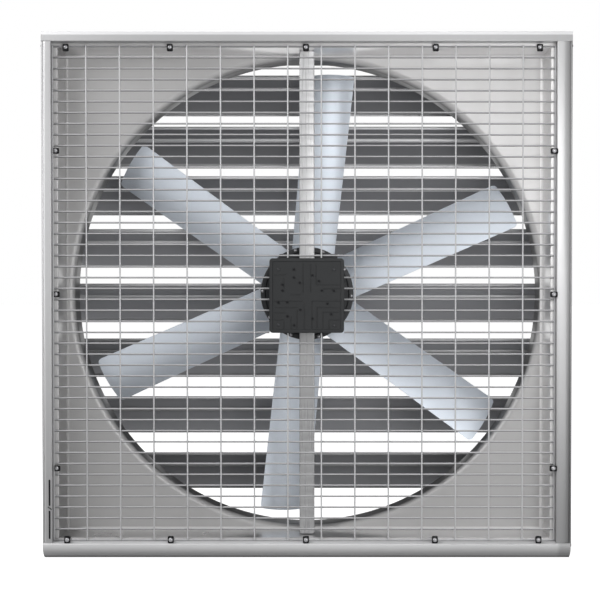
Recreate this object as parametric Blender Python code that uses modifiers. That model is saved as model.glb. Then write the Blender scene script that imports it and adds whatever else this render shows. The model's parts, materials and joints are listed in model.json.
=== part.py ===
"""Square wall exhaust fan: sheet housing, wire guard, direct-drive rotor and louvre shutter.

Metres, +Z up. The origin is at the middle of the underside, the room side faces -Y and
the outlet faces +Y. Depths are measured back from the front plane of the housing.
"""

import math

import bmesh
import bpy
from mathutils import Matrix, Vector

# Shared sizes.
SHEET = 0.0015
SEAT_GAP = 0.0003
OVERRUN = 0.004
MERGE_DISTANCE = 0.00001
SMOOTH_ANGLE = math.radians(40.0)
ROUND_PROFILE_SHARE = 0.5

# Housing: four folded panels with rolled front rails, open at the front and the back.
HOUSING_WIDTH = 1.380
HOUSING_HEIGHT = 1.376
ROLL_RADIUS = 0.009
ROLL_SEGMENTS = 3
TOP_RAIL = 0.0257
BOTTOM_RAIL = 0.0335
LEFT_RAIL = 0.0201
RIGHT_RAIL = 0.0337
REAR_LIP = 0.009

# Guard frame: the flange that carries the guard, and the wall from it back to the panel.
GUARD_SEAT_DEPTH = 0.030
FLANGE_TUCK = 0.006
LEFT_FLANGE = 0.0139
RIGHT_FLANGE = 0.0163
TOP_FLANGE = 0.0163
BOTTOM_FLANGE = 0.0125

# Venturi panel: flat sheet, bell mouth and throat.
VENTURI_DEPTH = 0.130
VENTURI_HEM = 0.020
THROAT_RIM = 0.056
THROAT_LENGTH = 0.085
BELL_RADIUS = 0.020
THROAT_SEGMENTS = 64
BELL_SEGMENTS = 3

# Wire guard: here every fifth cross wire, as a flat lattice of square bars.
WIRE = 0.004
GUARD_COLUMNS = 15
GUARD_ROWS = 9
GUARD_LEFT_CLEARANCE = 0.0013
GUARD_RIGHT_CLEARANCE = 0.0021
GUARD_TOP_CLEARANCE = 0.0106
GUARD_BOTTOM_CLEARANCE = 0.0049
GUARD_EDGE_COLUMN = 0.0860
GUARD_BOX_CLEARANCE = 0.004

# Guard clips: a plate over the edge wire, a domed screw and its shank.
CLIP_WIDTH = 0.0155
CLIP_LENGTH = 0.0180
CLIP_THICKNESS = 0.003
CLIP_DOME_RADIUS = 0.0058
CLIP_DOME_HEIGHT = 0.0027
CLIP_SHANK_RADIUS = 0.0012
CLIP_SEGMENTS = 8
CLIP_SHIFT_TOP = 0.0
CLIP_SHIFT_BOTTOM = 0.0030
CLIP_SHIFT_LEFT = 0.0062
CLIP_SHIFT_RIGHT = 0.0052
CLIP_COLUMN_SHARES = (-0.458, -0.260, -0.0015, 0.245, 0.443)
CLIP_ROW_SHARES = (0.166, 0.4995, 0.773)

# Motor post and its two brackets.
POST_SIZE = 0.040
POST_WALL = 0.002
POST_DEPTH = 0.068
POST_ROUND = 0.003
POST_ROUND_SEGMENTS = 2
BRACKET_WIDTH = 0.060
BRACKET_SHEET = 0.002
BRACKET_LEG = 0.034

# Controller box, seated on the post by its plate.
CASE_SIZE = 0.195
CASE_RISE = -0.0044
CASE_SPLIT_DEPTH = 0.030
CASE_WALL = 0.003
CASE_ROUND = 0.012
CASE_RIM = 0.008
CASE_RIM_HEIGHT = 0.002
CASE_SEGMENTS = 3
PLATE_WIDTH = 0.154
PLATE_SHEET = 0.003
PLATE_RISE = 0.007
PLATE_DROP = 0.010
PLATE_CHAMFER = 0.009
BOARD_CLEARANCE = 0.0145
BOARD_THICKNESS = 0.002

# Motor: end shield on the post, casing, stator, rotor core, bearings and shaft.
SHIELD_RADIUS = 0.1256
SHIELD_THICKNESS = 0.012
SHIELD_ROUND = 0.003
CASING_RADIUS = 0.1150
CASING_WALL = 0.006
CASING_LENGTH = 0.0574
CASING_BACK = 0.010
BEARING_RADIUS = 0.0225
BEARING_WIDTH = 0.0095
BEARING_POCKET_SHARE = 0.7
SHAFT_RADIUS = 0.0122
SHAFT_OVERHANG = 0.022
STATOR_INNER_RADIUS = 0.0720
STATOR_INSET = 0.0074
STATOR_LENGTH = 0.034
AIR_GAP = 0.0015
CORE_LENGTH = 0.028
MOTOR_SEGMENTS = 36
SHAFT_SEGMENTS = 16

# Rotor: a hub with six arms, and six pitched and twisted blades.
BLADE_COUNT = 6
BLADE_PHASE = math.radians(23.5)
TIP_CLEARANCE = 0.019
BLADE_ROOT = 0.085
BLADE_SHEET = 0.002
LEADING_OFFSET = 0.063
TRAILING_OFFSET_ROOT = 0.0540
TRAILING_OFFSET_TIP = 0.0695
ROTOR_CLEARANCE = 0.0075
ROTOR_LENGTH = 0.109
TIP_SETBACK = 0.0145
CAMBER_SHARE = 0.075
SLOPE_STEP_SHARE = 0.01
BLADE_REACH_SEGMENTS = 8
BLADE_CHORD_SEGMENTS = 6
HUB_RADIUS = 0.060
HUB_SETBACK = 0.0285
HUB_LENGTH = 0.056
ARM_THICKNESS = 0.005
ARM_START = 0.044
ARM_END = 0.220
ARM_REACH_SEGMENTS = 4
ARM_CHORD_SEGMENTS = 2
ARM_FIRST_SHARE = 0.34
ARM_LAST_SHARE = 0.66
HUB_SEGMENTS = 32
NUT_FLANGE_RADIUS = 0.030
NUT_FLANGE_THICKNESS = 0.004
NUT_RADIUS = 0.0200
NUT_LENGTH = 0.015
NUT_SEGMENTS = 6

# Shutter: eight blades that turn together on pins in two side rails.
PIVOT_CLEARANCE = 0.0825
PIVOT_REAR_INSET = 0.073
SHUTTER_TOP_INSET = 0.0955
SHUTTER_BOTTOM_INSET = 0.1835
SHUTTER_PITCH_SHARES = (0.1351, 0.1308, 0.1403, 0.1444, 0.1459, 0.1538, 0.1497)
BLADE_ANGLE_TOP = math.radians(56.0)
BLADE_ANGLE_STEP = math.radians(1.75)
UPPER_CHORD = 0.060
LOWER_CHORD = 0.120
SHUTTER_SHEET = 0.0012
HEM_WIDTH = 0.010
HEM_TURN = 0.004
BEAD_RADIUS = 0.0055
PIN_RADIUS = 0.0040
PIN_CLEARANCE = 0.0003
PIN_SEGMENTS = 10
SIDE_RAIL_THICKNESS = 0.003
SIDE_RAIL_REACH = 0.077
SHUTTER_END_CLEARANCE = 0.001
CRANK_RADIUS = 0.135
CRANK_ANGLE = math.radians(62.0)
CRANK_THICKNESS = 0.003
CRANK_ROOT_WIDTH = 0.030
CRANK_EYE_RADIUS = 0.006
CRANK_EYE_SEGMENTS = 4
CRANK_PIN_RADIUS = 0.0025
TIE_BAR_WIDTH = 0.012
TIE_BAR_THICKNESS = 0.003
TIE_BAR_OVERHANG = 0.012

# Side bolts near the corners.
BOLT_HEAD_RADIUS = 0.0065
BOLT_HEAD_LENGTH = 0.004
BOLT_RADIUS = 0.003
BOLT_LENGTH = 0.008
BOLT_DEPTH = 0.020
BOLT_INSET = 0.0135

# Worked out from the sizes above.
HALF_WIDTH = HOUSING_WIDTH / 2
CENTRE_HEIGHT = HOUSING_HEIGHT / 2
THROAT_RADIUS = min(HALF_WIDTH, CENTRE_HEIGHT) - THROAT_RIM
THROAT_END_DEPTH = VENTURI_DEPTH + THROAT_LENGTH
WINDOW_LEFT = -HALF_WIDTH + LEFT_RAIL + LEFT_FLANGE
WINDOW_RIGHT = HALF_WIDTH - RIGHT_RAIL - RIGHT_FLANGE
WINDOW_TOP = HOUSING_HEIGHT - TOP_RAIL - TOP_FLANGE
WINDOW_BOTTOM = BOTTOM_RAIL + BOTTOM_FLANGE
POST_BACK_DEPTH = POST_DEPTH + POST_SIZE
PLATE_DEPTH = POST_DEPTH - SEAT_GAP - PLATE_SHEET
CASE_BACK_DEPTH = PLATE_DEPTH - SEAT_GAP
CASE_CENTRE_HEIGHT = CENTRE_HEIGHT + CASE_RISE
BOARD_SIZE = CASE_SIZE - 2 * (CASE_WALL + BOARD_CLEARANCE)
SHIELD_DEPTH = POST_BACK_DEPTH + SEAT_GAP
SHIELD_BACK_DEPTH = SHIELD_DEPTH + SHIELD_THICKNESS
CASING_START_DEPTH = SHIELD_BACK_DEPTH + SEAT_GAP
CASING_END_DEPTH = CASING_START_DEPTH + CASING_LENGTH
STATOR_START_DEPTH = CASING_START_DEPTH + STATOR_INSET
ROTOR_DEPTH = CASING_END_DEPTH + ROTOR_CLEARANCE
ROTOR_BACK_DEPTH = ROTOR_DEPTH + ROTOR_LENGTH
HUB_START_DEPTH = ROTOR_DEPTH + HUB_SETBACK
HUB_END_DEPTH = HUB_START_DEPTH + HUB_LENGTH
SHAFT_END_DEPTH = HUB_END_DEPTH + SHAFT_OVERHANG
PIVOT_DEPTH = ROTOR_BACK_DEPTH + PIVOT_CLEARANCE
HOUSING_DEPTH = PIVOT_DEPTH + PIVOT_REAR_INSET
FRONT = -HOUSING_DEPTH / 2
SIDE_RAIL_FRONT_DEPTH = PIVOT_DEPTH - SIDE_RAIL_REACH
SHUTTER_SPAN = HOUSING_HEIGHT - SHUTTER_TOP_INSET - SHUTTER_BOTTOM_INSET
BEARING_POCKET = BEARING_WIDTH * BEARING_POCKET_SHARE
TIP_RADIUS = THROAT_RADIUS - TIP_CLEARANCE
WIRE_DEPTH = GUARD_SEAT_DEPTH - SEAT_GAP - WIRE
GUARD_LEFT = -HALF_WIDTH + LEFT_RAIL + GUARD_LEFT_CLEARANCE
GUARD_RIGHT = HALF_WIDTH - RIGHT_RAIL - GUARD_RIGHT_CLEARANCE
GUARD_TOP = HOUSING_HEIGHT - TOP_RAIL - GUARD_TOP_CLEARANCE
GUARD_BOTTOM = BOTTOM_RAIL + GUARD_BOTTOM_CLEARANCE
SIDE_RAIL_FACE = HALF_WIDTH - SHEET - SEAT_GAP - SIDE_RAIL_THICKNESS
SHUTTER_HALF_LENGTH = HALF_WIDTH - REAR_LIP - SHUTTER_END_CLEARANCE
PIN_REACH = SIDE_RAIL_FACE + SIDE_RAIL_THICKNESS - SEAT_GAP
TIE_BAR_FACE = CRANK_THICKNESS / 2 + SEAT_GAP


def clear_scene():
    """Remove what a new file holds."""
    for item in list(bpy.data.objects):
        bpy.data.objects.remove(item)


def back(depth):
    """World Y of a depth behind the front plane."""
    return FRONT + depth


def material(name, colour, roughness, metallic):
    """One Principled material for one sub-part."""
    finish = bpy.data.materials.new(name)
    finish.use_nodes = True
    shader = finish.node_tree.nodes["Principled BSDF"]
    shader.inputs["Base Color"].default_value = (*colour, 1.0)
    shader.inputs["Roughness"].default_value = roughness
    shader.inputs["Metallic"].default_value = metallic
    return finish


def mesh_from(bm, name):
    """Turn a bmesh into a mesh and free it."""
    mesh = bpy.data.meshes.new(name)
    bm.to_mesh(mesh)
    bm.free()
    return mesh


def faces_out(mesh):
    """Point the faces of a closed mesh outwards."""
    bm = bmesh.new()
    bm.from_mesh(mesh)
    bmesh.ops.remove_doubles(bm, verts=bm.verts, dist=MERGE_DISTANCE)
    bmesh.ops.recalc_face_normals(bm, faces=bm.faces)
    bm.to_mesh(mesh)
    bm.free()
    return mesh


def worked(mesh, add_modifiers):
    """The mesh after modifiers that add_modifiers puts on a short-lived object."""
    holder = bpy.data.objects.new("work", mesh)
    bpy.context.scene.collection.objects.link(holder)
    add_modifiers(holder)
    depsgraph = bpy.context.evaluated_depsgraph_get()
    result = bpy.data.meshes.new_from_object(holder.evaluated_get(depsgraph))
    bpy.data.objects.remove(holder)
    return result


def combined(mesh, tools, operation):
    """Boolean of a mesh with each tool mesh in turn."""
    for tool_mesh in tools:
        tool = bpy.data.objects.new("tool", tool_mesh)
        bpy.context.scene.collection.objects.link(tool)

        def add_boolean(holder, tool=tool):
            boolean = holder.modifiers.new("Boolean", "BOOLEAN")
            boolean.operation = operation
            boolean.solver = "EXACT"
            boolean.object = tool

        mesh = worked(mesh, add_boolean)
        bpy.data.objects.remove(tool)
    return faces_out(mesh)


def thickened(mesh, thickness, offset):
    """A closed sheet from an open surface."""
    def add_solidify(holder):
        solidify = holder.modifiers.new("Solidify", "SOLIDIFY")
        solidify.thickness = thickness
        solidify.offset = offset
        solidify.use_even_offset = True
        solidify.use_quality_normals = True

    return faces_out(worked(mesh, add_solidify))


def box_bmesh(low, high):
    """A box between two corners, as a bmesh."""
    low = Vector(low)
    high = Vector(high)
    bm = bmesh.new()
    bmesh.ops.create_cube(bm, size=1.0)
    bmesh.ops.scale(bm, vec=high - low, verts=bm.verts)
    bmesh.ops.translate(bm, vec=(low + high) / 2, verts=bm.verts)
    return bm


def box(low, high):
    """A box between two corners."""
    return mesh_from(box_bmesh(low, high), "box")


def rounded_box(low, high, radius, segments, picks):
    """A box whose edges along the direction of picks are rounded."""
    bm = box_bmesh(low, high)
    edges = [e for e in bm.edges if picks(e)]
    bmesh.ops.bevel(bm, geom=edges, offset=radius, segments=segments, profile=ROUND_PROFILE_SHARE,
                    affect="EDGES", material=-1)
    return mesh_from(bm, "rounded_box")


def runs_along(axis):
    """A test for edges that run along one world axis."""
    def test(edge):
        line = edge.verts[1].co - edge.verts[0].co
        return abs(line[axis]) > line.length / 2
    return test


def rod(centre, direction, radius, length, segments):
    """A cylinder that starts at centre and runs along direction for length."""
    bm = bmesh.new()
    bmesh.ops.create_cone(bm, cap_ends=True, segments=segments, radius1=radius,
                          radius2=radius, depth=length)
    turn = Vector((0, 0, 1)).rotation_difference(Vector(direction)).to_matrix().to_4x4()
    place = Matrix.Translation(Vector(centre) + Vector(direction) * length / 2)
    bmesh.ops.transform(bm, matrix=place @ turn, verts=bm.verts)
    return mesh_from(bm, "rod")


def turned(profile, segments, closed):
    """A shape turned about the fan axis from (radius, depth) points."""
    bm = bmesh.new()
    points = [bm.verts.new((radius, 0, depth)) for radius, depth in profile]
    for first, second in zip(points, points[1:]):
        bm.edges.new((first, second))
    if closed:
        bm.edges.new((points[-1], points[0]))

    def add_screw(holder):
        screw = holder.modifiers.new("Screw", "SCREW")
        screw.axis = "Z"
        screw.steps = segments
        screw.render_steps = segments
        screw.use_merge_vertices = True
        screw.merge_threshold = MERGE_DISTANCE

    mesh = worked(mesh_from(bm, "turned"), add_screw)
    mesh.transform(Matrix.Translation((0, FRONT, CENTRE_HEIGHT)) @ Matrix.Rotation(-math.pi / 2, 4, "X"))
    return faces_out(mesh)


def ring(inner, outer, start, end, segments):
    """A turned ring of rectangular section."""
    return turned([(inner, start), (outer, start), (outer, end), (inner, end)], segments, True)


def lofted(loops):
    """An open surface through closed loops of equal length, first loop to last."""
    bm = bmesh.new()
    rows = [[bm.verts.new(point) for point in loop] for loop in loops]
    count = len(rows[0])
    for first, second in zip(rows, rows[1:]):
        for i in range(count):
            j = (i + 1) % count
            bm.faces.new((first[i], first[j], second[j], second[i]))
    return mesh_from(bm, "lofted")


def extruded_x(outline, low, high):
    """A prism from a (y, z) outline, between two values of X."""
    bm = bmesh.new()
    face = bm.faces.new([bm.verts.new((low, y, z)) for y, z in outline])
    grown = bmesh.ops.extrude_face_region(bm, geom=[face])["geom"]
    moved = [v for v in grown if isinstance(v, bmesh.types.BMVert)]
    bmesh.ops.translate(bm, vec=(high - low, 0, 0), verts=moved)
    return faces_out(mesh_from(bm, "prism"))


def add_part(name, mesh, finish, parts, origin=None, smooth_angle=None):
    """One named sub-part, with its origin moved to a point if one is given."""
    mesh.name = name
    if origin is not None:
        mesh.transform(Matrix.Translation(-Vector(origin)))
    part = bpy.data.objects.new(name, mesh)
    if origin is not None:
        part.location = origin
    mesh.materials.clear()
    mesh.materials.append(finish)
    if smooth_angle is not None:
        mesh.shade_smooth()
        mesh.set_sharp_from_angle(angle=smooth_angle)
    parts.objects.link(part)
    return part


def add_empty(name, location, parts):
    """An empty that marks a joint axis."""
    marker = bpy.data.objects.new(name, None)
    marker.location = location
    parts.objects.link(marker)
    return marker


def hang_on(part, parent):
    """Parent a part without moving it."""
    part.parent = parent
    part.matrix_parent_inverse = Matrix.Translation(-parent.location)


def full_rail_panel(low, high, outer_sign):
    """A top or bottom panel: a pan with rolled rims, its legs bent down at both ends."""
    bm = box_bmesh(low, high)
    outer = high[2] if outer_sign > 0 else low[2]
    front_edges = []
    for edge in bm.edges:
        middle = (edge.verts[0].co + edge.verts[1].co) / 2
        at_front = abs(middle.y - low[1]) < MERGE_DISTANCE
        at_outer = abs(middle.z - outer) < MERGE_DISTANCE and runs_along(1)(edge)
        if at_front or at_outer:
            front_edges.append(edge)
    bmesh.ops.bevel(bm, geom=front_edges, offset=ROLL_RADIUS, segments=ROLL_SEGMENTS,
                    profile=ROUND_PROFILE_SHARE, affect="EDGES", material=-1)
    lip_end = back(GUARD_SEAT_DEPTH - SEAT_GAP)
    inner = low[2] if outer_sign > 0 else high[2]
    rear_edge = outer - outer_sign * REAR_LIP
    open_sheet(bm, 2, inner, lip_end, high[1], rear_edge, outer_sign)
    return thickened(mesh_from(bm, "rail_panel"), SHEET, -1.0)


def side_rail_panel(low, high, outer_sign):
    """A left or right panel, its ends butted between the top and bottom panels."""
    bm = box_bmesh(low, high)
    front_edges = []
    for edge in bm.edges:
        middle = (edge.verts[0].co + edge.verts[1].co) / 2
        if abs(middle.y - low[1]) < MERGE_DISTANCE and runs_along(2)(edge):
            front_edges.append(edge)
    bmesh.ops.bevel(bm, geom=front_edges, offset=ROLL_RADIUS, segments=ROLL_SEGMENTS,
                    profile=ROUND_PROFILE_SHARE, affect="EDGES", material=-1)
    ends = [f for f in bm.faces
            if min(abs(f.calc_center_median().z - end) for end in (low[2], high[2])) < MERGE_DISTANCE]
    bmesh.ops.delete(bm, geom=ends, context="FACES")
    lip_end = back(GUARD_SEAT_DEPTH - SEAT_GAP)
    outer = high[0] if outer_sign > 0 else low[0]
    inner = low[0] if outer_sign > 0 else high[0]
    rear_edge = outer - outer_sign * REAR_LIP
    open_sheet(bm, 0, inner, lip_end, high[1], rear_edge, outer_sign)
    return thickened(mesh_from(bm, "side_panel"), SHEET, -1.0)


def open_sheet(bm, axis, inner, lip_end, rear, rear_edge, outer_sign):
    """Leave of the inner face only the lip, and of the rear face only its outer strip."""
    normal = Vector((0, 0, 0))
    normal[axis] = 1.0
    cut = Vector((0, 0, 0))
    cut[axis] = rear_edge
    everything = bm.verts[:] + bm.edges[:] + bm.faces[:]
    bmesh.ops.bisect_plane(bm, geom=everything, plane_co=(0, lip_end, 0), plane_no=(0, 1, 0))
    rear_faces = [f for f in bm.faces if abs(f.calc_center_median().y - rear) < MERGE_DISTANCE]
    rear_geom = set(rear_faces)
    for face in rear_faces:
        rear_geom.update(face.edges)
        rear_geom.update(face.verts)
    bmesh.ops.bisect_plane(bm, geom=list(rear_geom), plane_co=cut, plane_no=normal)
    gone = []
    for face in bm.faces:
        middle = face.calc_center_median()
        inner_face = abs(middle[axis] - inner) < MERGE_DISTANCE and middle.y > lip_end
        rear_face = abs(middle.y - rear) < MERGE_DISTANCE
        if inner_face or (rear_face and (rear_edge - middle[axis]) * outer_sign > 0):
            gone.append(face)
    bmesh.ops.delete(bm, geom=gone, context="FACES")


def add_housing(parts, finish):
    """Four sheet panels: top and bottom run the full width, the sides stand between them."""
    top_inner = HOUSING_HEIGHT - TOP_RAIL
    rear = back(HOUSING_DEPTH)
    top = full_rail_panel((-HALF_WIDTH, FRONT, top_inner), (HALF_WIDTH, rear, HOUSING_HEIGHT), 1)
    bottom = full_rail_panel((-HALF_WIDTH, FRONT, 0), (HALF_WIDTH, rear, BOTTOM_RAIL), -1)
    low = BOTTOM_RAIL + SEAT_GAP
    high = top_inner - SEAT_GAP
    left = side_rail_panel((-HALF_WIDTH, FRONT, low), (-HALF_WIDTH + LEFT_RAIL, rear, high), -1)
    right = side_rail_panel((HALF_WIDTH - RIGHT_RAIL, FRONT, low), (HALF_WIDTH, rear, high), 1)
    holes = [rod(place - direction * OVERRUN, direction, BOLT_RADIUS + SEAT_GAP,
                 SHEET + 2 * OVERRUN, SHAFT_SEGMENTS) for place, direction in side_bolt_places()]
    left = combined(left, holes[0:2], "DIFFERENCE")
    right = combined(right, holes[2:4], "DIFFERENCE")
    add_part("housing_top_panel", top, finish, parts)
    add_part("housing_bottom_panel", bottom, finish, parts)
    add_part("housing_left_panel", left, finish, parts)
    add_part("housing_right_panel", right, finish, parts)


def side_bolt_places():
    """Where each side bolt enters the sheet, and the way it points in."""
    upper = HOUSING_HEIGHT - TOP_RAIL - BOLT_INSET
    lower = BOTTOM_RAIL + BOLT_INSET
    places = []
    for side in (-1, 1):
        for height in (lower, upper):
            places.append((Vector((side * HALF_WIDTH, back(BOLT_DEPTH), height)), Vector((-side, 0, 0))))
    return places


def add_side_bolts(parts, finish):
    """Four hexagon bolts through the side panels."""
    for number, (place, inwards) in enumerate(side_bolt_places(), start=1):
        head = rod(place - inwards * (BOLT_HEAD_LENGTH + SEAT_GAP), inwards, BOLT_HEAD_RADIUS,
                   BOLT_HEAD_LENGTH, NUT_SEGMENTS)
        shank = rod(place - inwards * OVERRUN / 2, inwards, BOLT_RADIUS, BOLT_LENGTH, PIN_SEGMENTS)
        bolt = combined(head, [shank], "UNION")
        add_part(f"side_bolt_{number}", bolt, finish, parts)


def rectangle(left, right, bottom, top, depth):
    """The four corners of a rectangle that faces the room."""
    y = back(depth)
    return [(left, y, bottom), (right, y, bottom), (right, y, top), (left, y, top)]


def add_guard_frame(parts, finish):
    """Flange behind the rails, and a wall from its inner edge back to the venturi panel."""
    tuck = FLANGE_TUCK
    flange = rectangle(-HALF_WIDTH + LEFT_RAIL - tuck, HALF_WIDTH - RIGHT_RAIL + tuck,
                       BOTTOM_RAIL - tuck, HOUSING_HEIGHT - TOP_RAIL + tuck, GUARD_SEAT_DEPTH)
    window = rectangle(WINDOW_LEFT, WINDOW_RIGHT, WINDOW_BOTTOM, WINDOW_TOP, GUARD_SEAT_DEPTH)
    wall = rectangle(WINDOW_LEFT, WINDOW_RIGHT, WINDOW_BOTTOM, WINDOW_TOP, VENTURI_DEPTH - SEAT_GAP)
    mesh = thickened(lofted([flange, window, wall]), SHEET, -1.0)
    add_part("guard_frame", mesh, finish, parts)


def loop_angles():
    """Even steps round the throat, with two close steps at each corner for its chamfer."""
    cut = math.pi / 4 - math.atan(1 - ROLL_RADIUS / HALF_WIDTH)
    angles = []
    for i in range(THROAT_SEGMENTS):
        angle = math.tau * i / THROAT_SEGMENTS
        if i % (THROAT_SEGMENTS // 4) == THROAT_SEGMENTS // 8:
            angles += [angle - cut, angle + cut]
        else:
            angles.append(angle)
    return angles


def circle_loop(radius, depth):
    """A loop round the throat."""
    return [(radius * math.cos(angle), back(depth), CENTRE_HEIGHT + radius * math.sin(angle))
            for angle in loop_angles()]


def square_loop(half_width, half_height, depth):
    """The square edge of the panel, with as many points as the throat has."""
    loop = []
    for angle in loop_angles():
        reach = max(abs(math.cos(angle)), abs(math.sin(angle)))
        x = half_width * math.cos(angle) / reach
        z = half_height * math.sin(angle) / reach
        loop.append((x, back(depth), CENTRE_HEIGHT + z))
    return loop


def add_venturi(parts, finish):
    """Square sheet with a turned-back hem, drawn into a bell mouth and a short throat."""
    half_width = HALF_WIDTH - SHEET - SEAT_GAP
    half_height = CENTRE_HEIGHT - SHEET - SEAT_GAP
    loops = [
        square_loop(half_width, half_height, VENTURI_DEPTH + VENTURI_HEM),
        square_loop(half_width, half_height, VENTURI_DEPTH),
    ]
    for step in range(BELL_SEGMENTS + 1):
        angle = math.pi / 2 * step / BELL_SEGMENTS
        radius = THROAT_RADIUS + BELL_RADIUS * (1 - math.sin(angle))
        depth = VENTURI_DEPTH + BELL_RADIUS * (1 - math.cos(angle))
        loops.append(circle_loop(radius, depth))
    loops.append(circle_loop(THROAT_RADIUS, THROAT_END_DEPTH))
    mesh = thickened(lofted(loops), SHEET, -1.0)
    add_part("venturi_panel", mesh, finish, parts, smooth_angle=SMOOTH_ANGLE)


def guard_columns():
    """X of each upright wire: the edge wires, and an even pitch between."""
    first = GUARD_LEFT + WIRE / 2 + GUARD_EDGE_COLUMN
    last = GUARD_RIGHT - WIRE / 2 - GUARD_EDGE_COLUMN
    inner = GUARD_COLUMNS - 2
    places = [first + (last - first) * i / inner for i in range(inner + 1)]
    return [GUARD_LEFT + WIRE / 2] + places + [GUARD_RIGHT - WIRE / 2]


def guard_rows():
    """Z of each cross wire that the lattice keeps."""
    first = GUARD_BOTTOM + WIRE / 2
    last = GUARD_TOP - WIRE / 2
    return [first + (last - first) * i / GUARD_ROWS for i in range(GUARD_ROWS + 1)]


def add_guard(parts, finish):
    """Flat lattice of square bars with an opening for the controller box."""
    columns = guard_columns()
    rows = guard_rows()
    bm = bmesh.new()
    grid = [[bm.verts.new((x, back(WIRE_DEPTH), z)) for x in columns] for z in rows]
    for lower, upper in zip(grid, grid[1:]):
        for i in range(GUARD_COLUMNS):
            bm.faces.new((lower[i], lower[i + 1], upper[i + 1], upper[i]))
    bm.normal_update()
    cells = bm.faces[:]
    bmesh.ops.inset_individual(bm, faces=cells, thickness=WIRE / 2, use_even_offset=True)
    bmesh.ops.delete(bm, geom=cells, context="FACES_ONLY")
    for vert in bm.verts:
        grow_edge_bar(vert, columns, rows)
    lattice = thickened(mesh_from(bm, "lattice"), WIRE, -1.0)
    half = CASE_SIZE / 2 + GUARD_BOX_CLEARANCE
    opening = box((-half, back(WIRE_DEPTH) - OVERRUN, CASE_CENTRE_HEIGHT - half),
                  (half, back(WIRE_DEPTH) + WIRE + OVERRUN, CASE_CENTRE_HEIGHT + half))
    add_part("wire_guard", combined(lattice, [opening], "DIFFERENCE"), finish, parts)


def grow_edge_bar(vert, columns, rows):
    """Push the outer rim out by half a wire, so the edge bars are as wide as the others."""
    half = WIRE / 2
    if abs(vert.co.x - columns[0]) < MERGE_DISTANCE:
        vert.co.x -= half
    if abs(vert.co.x - columns[-1]) < MERGE_DISTANCE:
        vert.co.x += half
    if abs(vert.co.z - rows[0]) < MERGE_DISTANCE:
        vert.co.z -= half
    if abs(vert.co.z - rows[-1]) < MERGE_DISTANCE:
        vert.co.z += half


def clip_mesh(shift):
    """Plate and domed head raised by shift from the wire at the origin, and the shank above the wire."""
    plate_back = -SEAT_GAP
    plate_front = plate_back - CLIP_THICKNESS
    half_width = CLIP_WIDTH / 2
    half_length = CLIP_LENGTH / 2
    plate = box((-half_width, plate_front, shift - half_length),
                (half_width, plate_back, shift + half_length))
    bm = bmesh.new()
    bmesh.ops.create_uvsphere(bm, u_segments=CLIP_SEGMENTS, v_segments=CLIP_SEGMENTS // 2 + 1,
                              radius=CLIP_DOME_RADIUS)
    squash = Matrix.Diagonal((1.0, CLIP_DOME_HEIGHT / CLIP_DOME_RADIUS, 1.0, 1.0))
    turn = Matrix.Rotation(math.pi / 2, 4, "X")
    bmesh.ops.transform(bm, matrix=Matrix.Translation((0, plate_front, shift)) @ squash @ turn,
                        verts=bm.verts)
    dome = mesh_from(bm, "dome")
    rise = WIRE / 2 + SEAT_GAP + CLIP_SHANK_RADIUS
    shank = rod((0, plate_front + CLIP_THICKNESS / 2, rise), (0, 1, 0), CLIP_SHANK_RADIUS,
                WIRE + CLIP_THICKNESS / 2 + SEAT_GAP, CLIP_SEGMENTS)
    return combined(plate, [dome, shank], "UNION")


def clip_places():
    """Each clip's seat on the front of the guard, its turn about the depth axis and its shift."""
    columns = [share * HOUSING_WIDTH for share in CLIP_COLUMN_SHARES]
    heights = [share * HOUSING_HEIGHT for share in CLIP_ROW_SHARES]
    top = GUARD_TOP - WIRE / 2
    bottom = GUARD_BOTTOM + WIRE / 2
    left = GUARD_LEFT + WIRE / 2
    right = GUARD_RIGHT - WIRE / 2
    places = [(x, top, 0.0, CLIP_SHIFT_TOP) for x in columns]
    places += [(x, bottom, 0.0, CLIP_SHIFT_BOTTOM) for x in columns]
    places += [(left, z, math.pi / 2, CLIP_SHIFT_LEFT) for z in heights]
    places += [(right, z, -math.pi / 2, CLIP_SHIFT_RIGHT) for z in heights]
    return places


def add_clips(parts, finish):
    """Sixteen clips round the guard, each with the screw beside the wire."""
    for number, (x, z, turn, shift) in enumerate(clip_places(), start=1):
        mesh = clip_mesh(shift)
        mesh.materials.append(finish)
        clip = bpy.data.objects.new(f"guard_clip_{number:02d}", mesh)
        clip.location = (x, back(WIRE_DEPTH), z)
        clip.rotation_euler = (0, turn, 0)
        parts.objects.link(clip)


def add_post(parts, finish):
    """Square tube in front of the motor, with an angle bracket behind each end."""
    low = WINDOW_BOTTOM + 2 * SEAT_GAP + BRACKET_SHEET
    high = WINDOW_TOP - 2 * SEAT_GAP - BRACKET_SHEET
    half = POST_SIZE / 2
    outside = rounded_box((-half, back(POST_DEPTH), low), (half, back(POST_BACK_DEPTH), high),
                          POST_ROUND, POST_ROUND_SEGMENTS, runs_along(2))
    inside = box((-half + POST_WALL, back(POST_DEPTH + POST_WALL), low - OVERRUN),
                 (half - POST_WALL, back(POST_BACK_DEPTH - POST_WALL), high + OVERRUN))
    add_part("motor_post", combined(outside, [inside], "DIFFERENCE"), finish, parts)
    leg_front = POST_BACK_DEPTH + SEAT_GAP
    leg_back = leg_front + BRACKET_SHEET
    ends = (("post_bracket_top", WINDOW_TOP, -1), ("post_bracket_bottom", WINDOW_BOTTOM, 1))
    for name, wall, way in ends:
        face = wall + way * SEAT_GAP
        foot = face + way * BRACKET_SHEET
        tip = face + way * BRACKET_LEG
        outline = [(back(POST_DEPTH), face), (back(leg_back), face), (back(leg_back), tip),
                   (back(leg_front), tip), (back(leg_front), foot), (back(POST_DEPTH), foot)]
        bracket = extruded_x(outline, -BRACKET_WIDTH / 2, BRACKET_WIDTH / 2)
        add_part(name, bracket, finish, parts)


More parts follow.
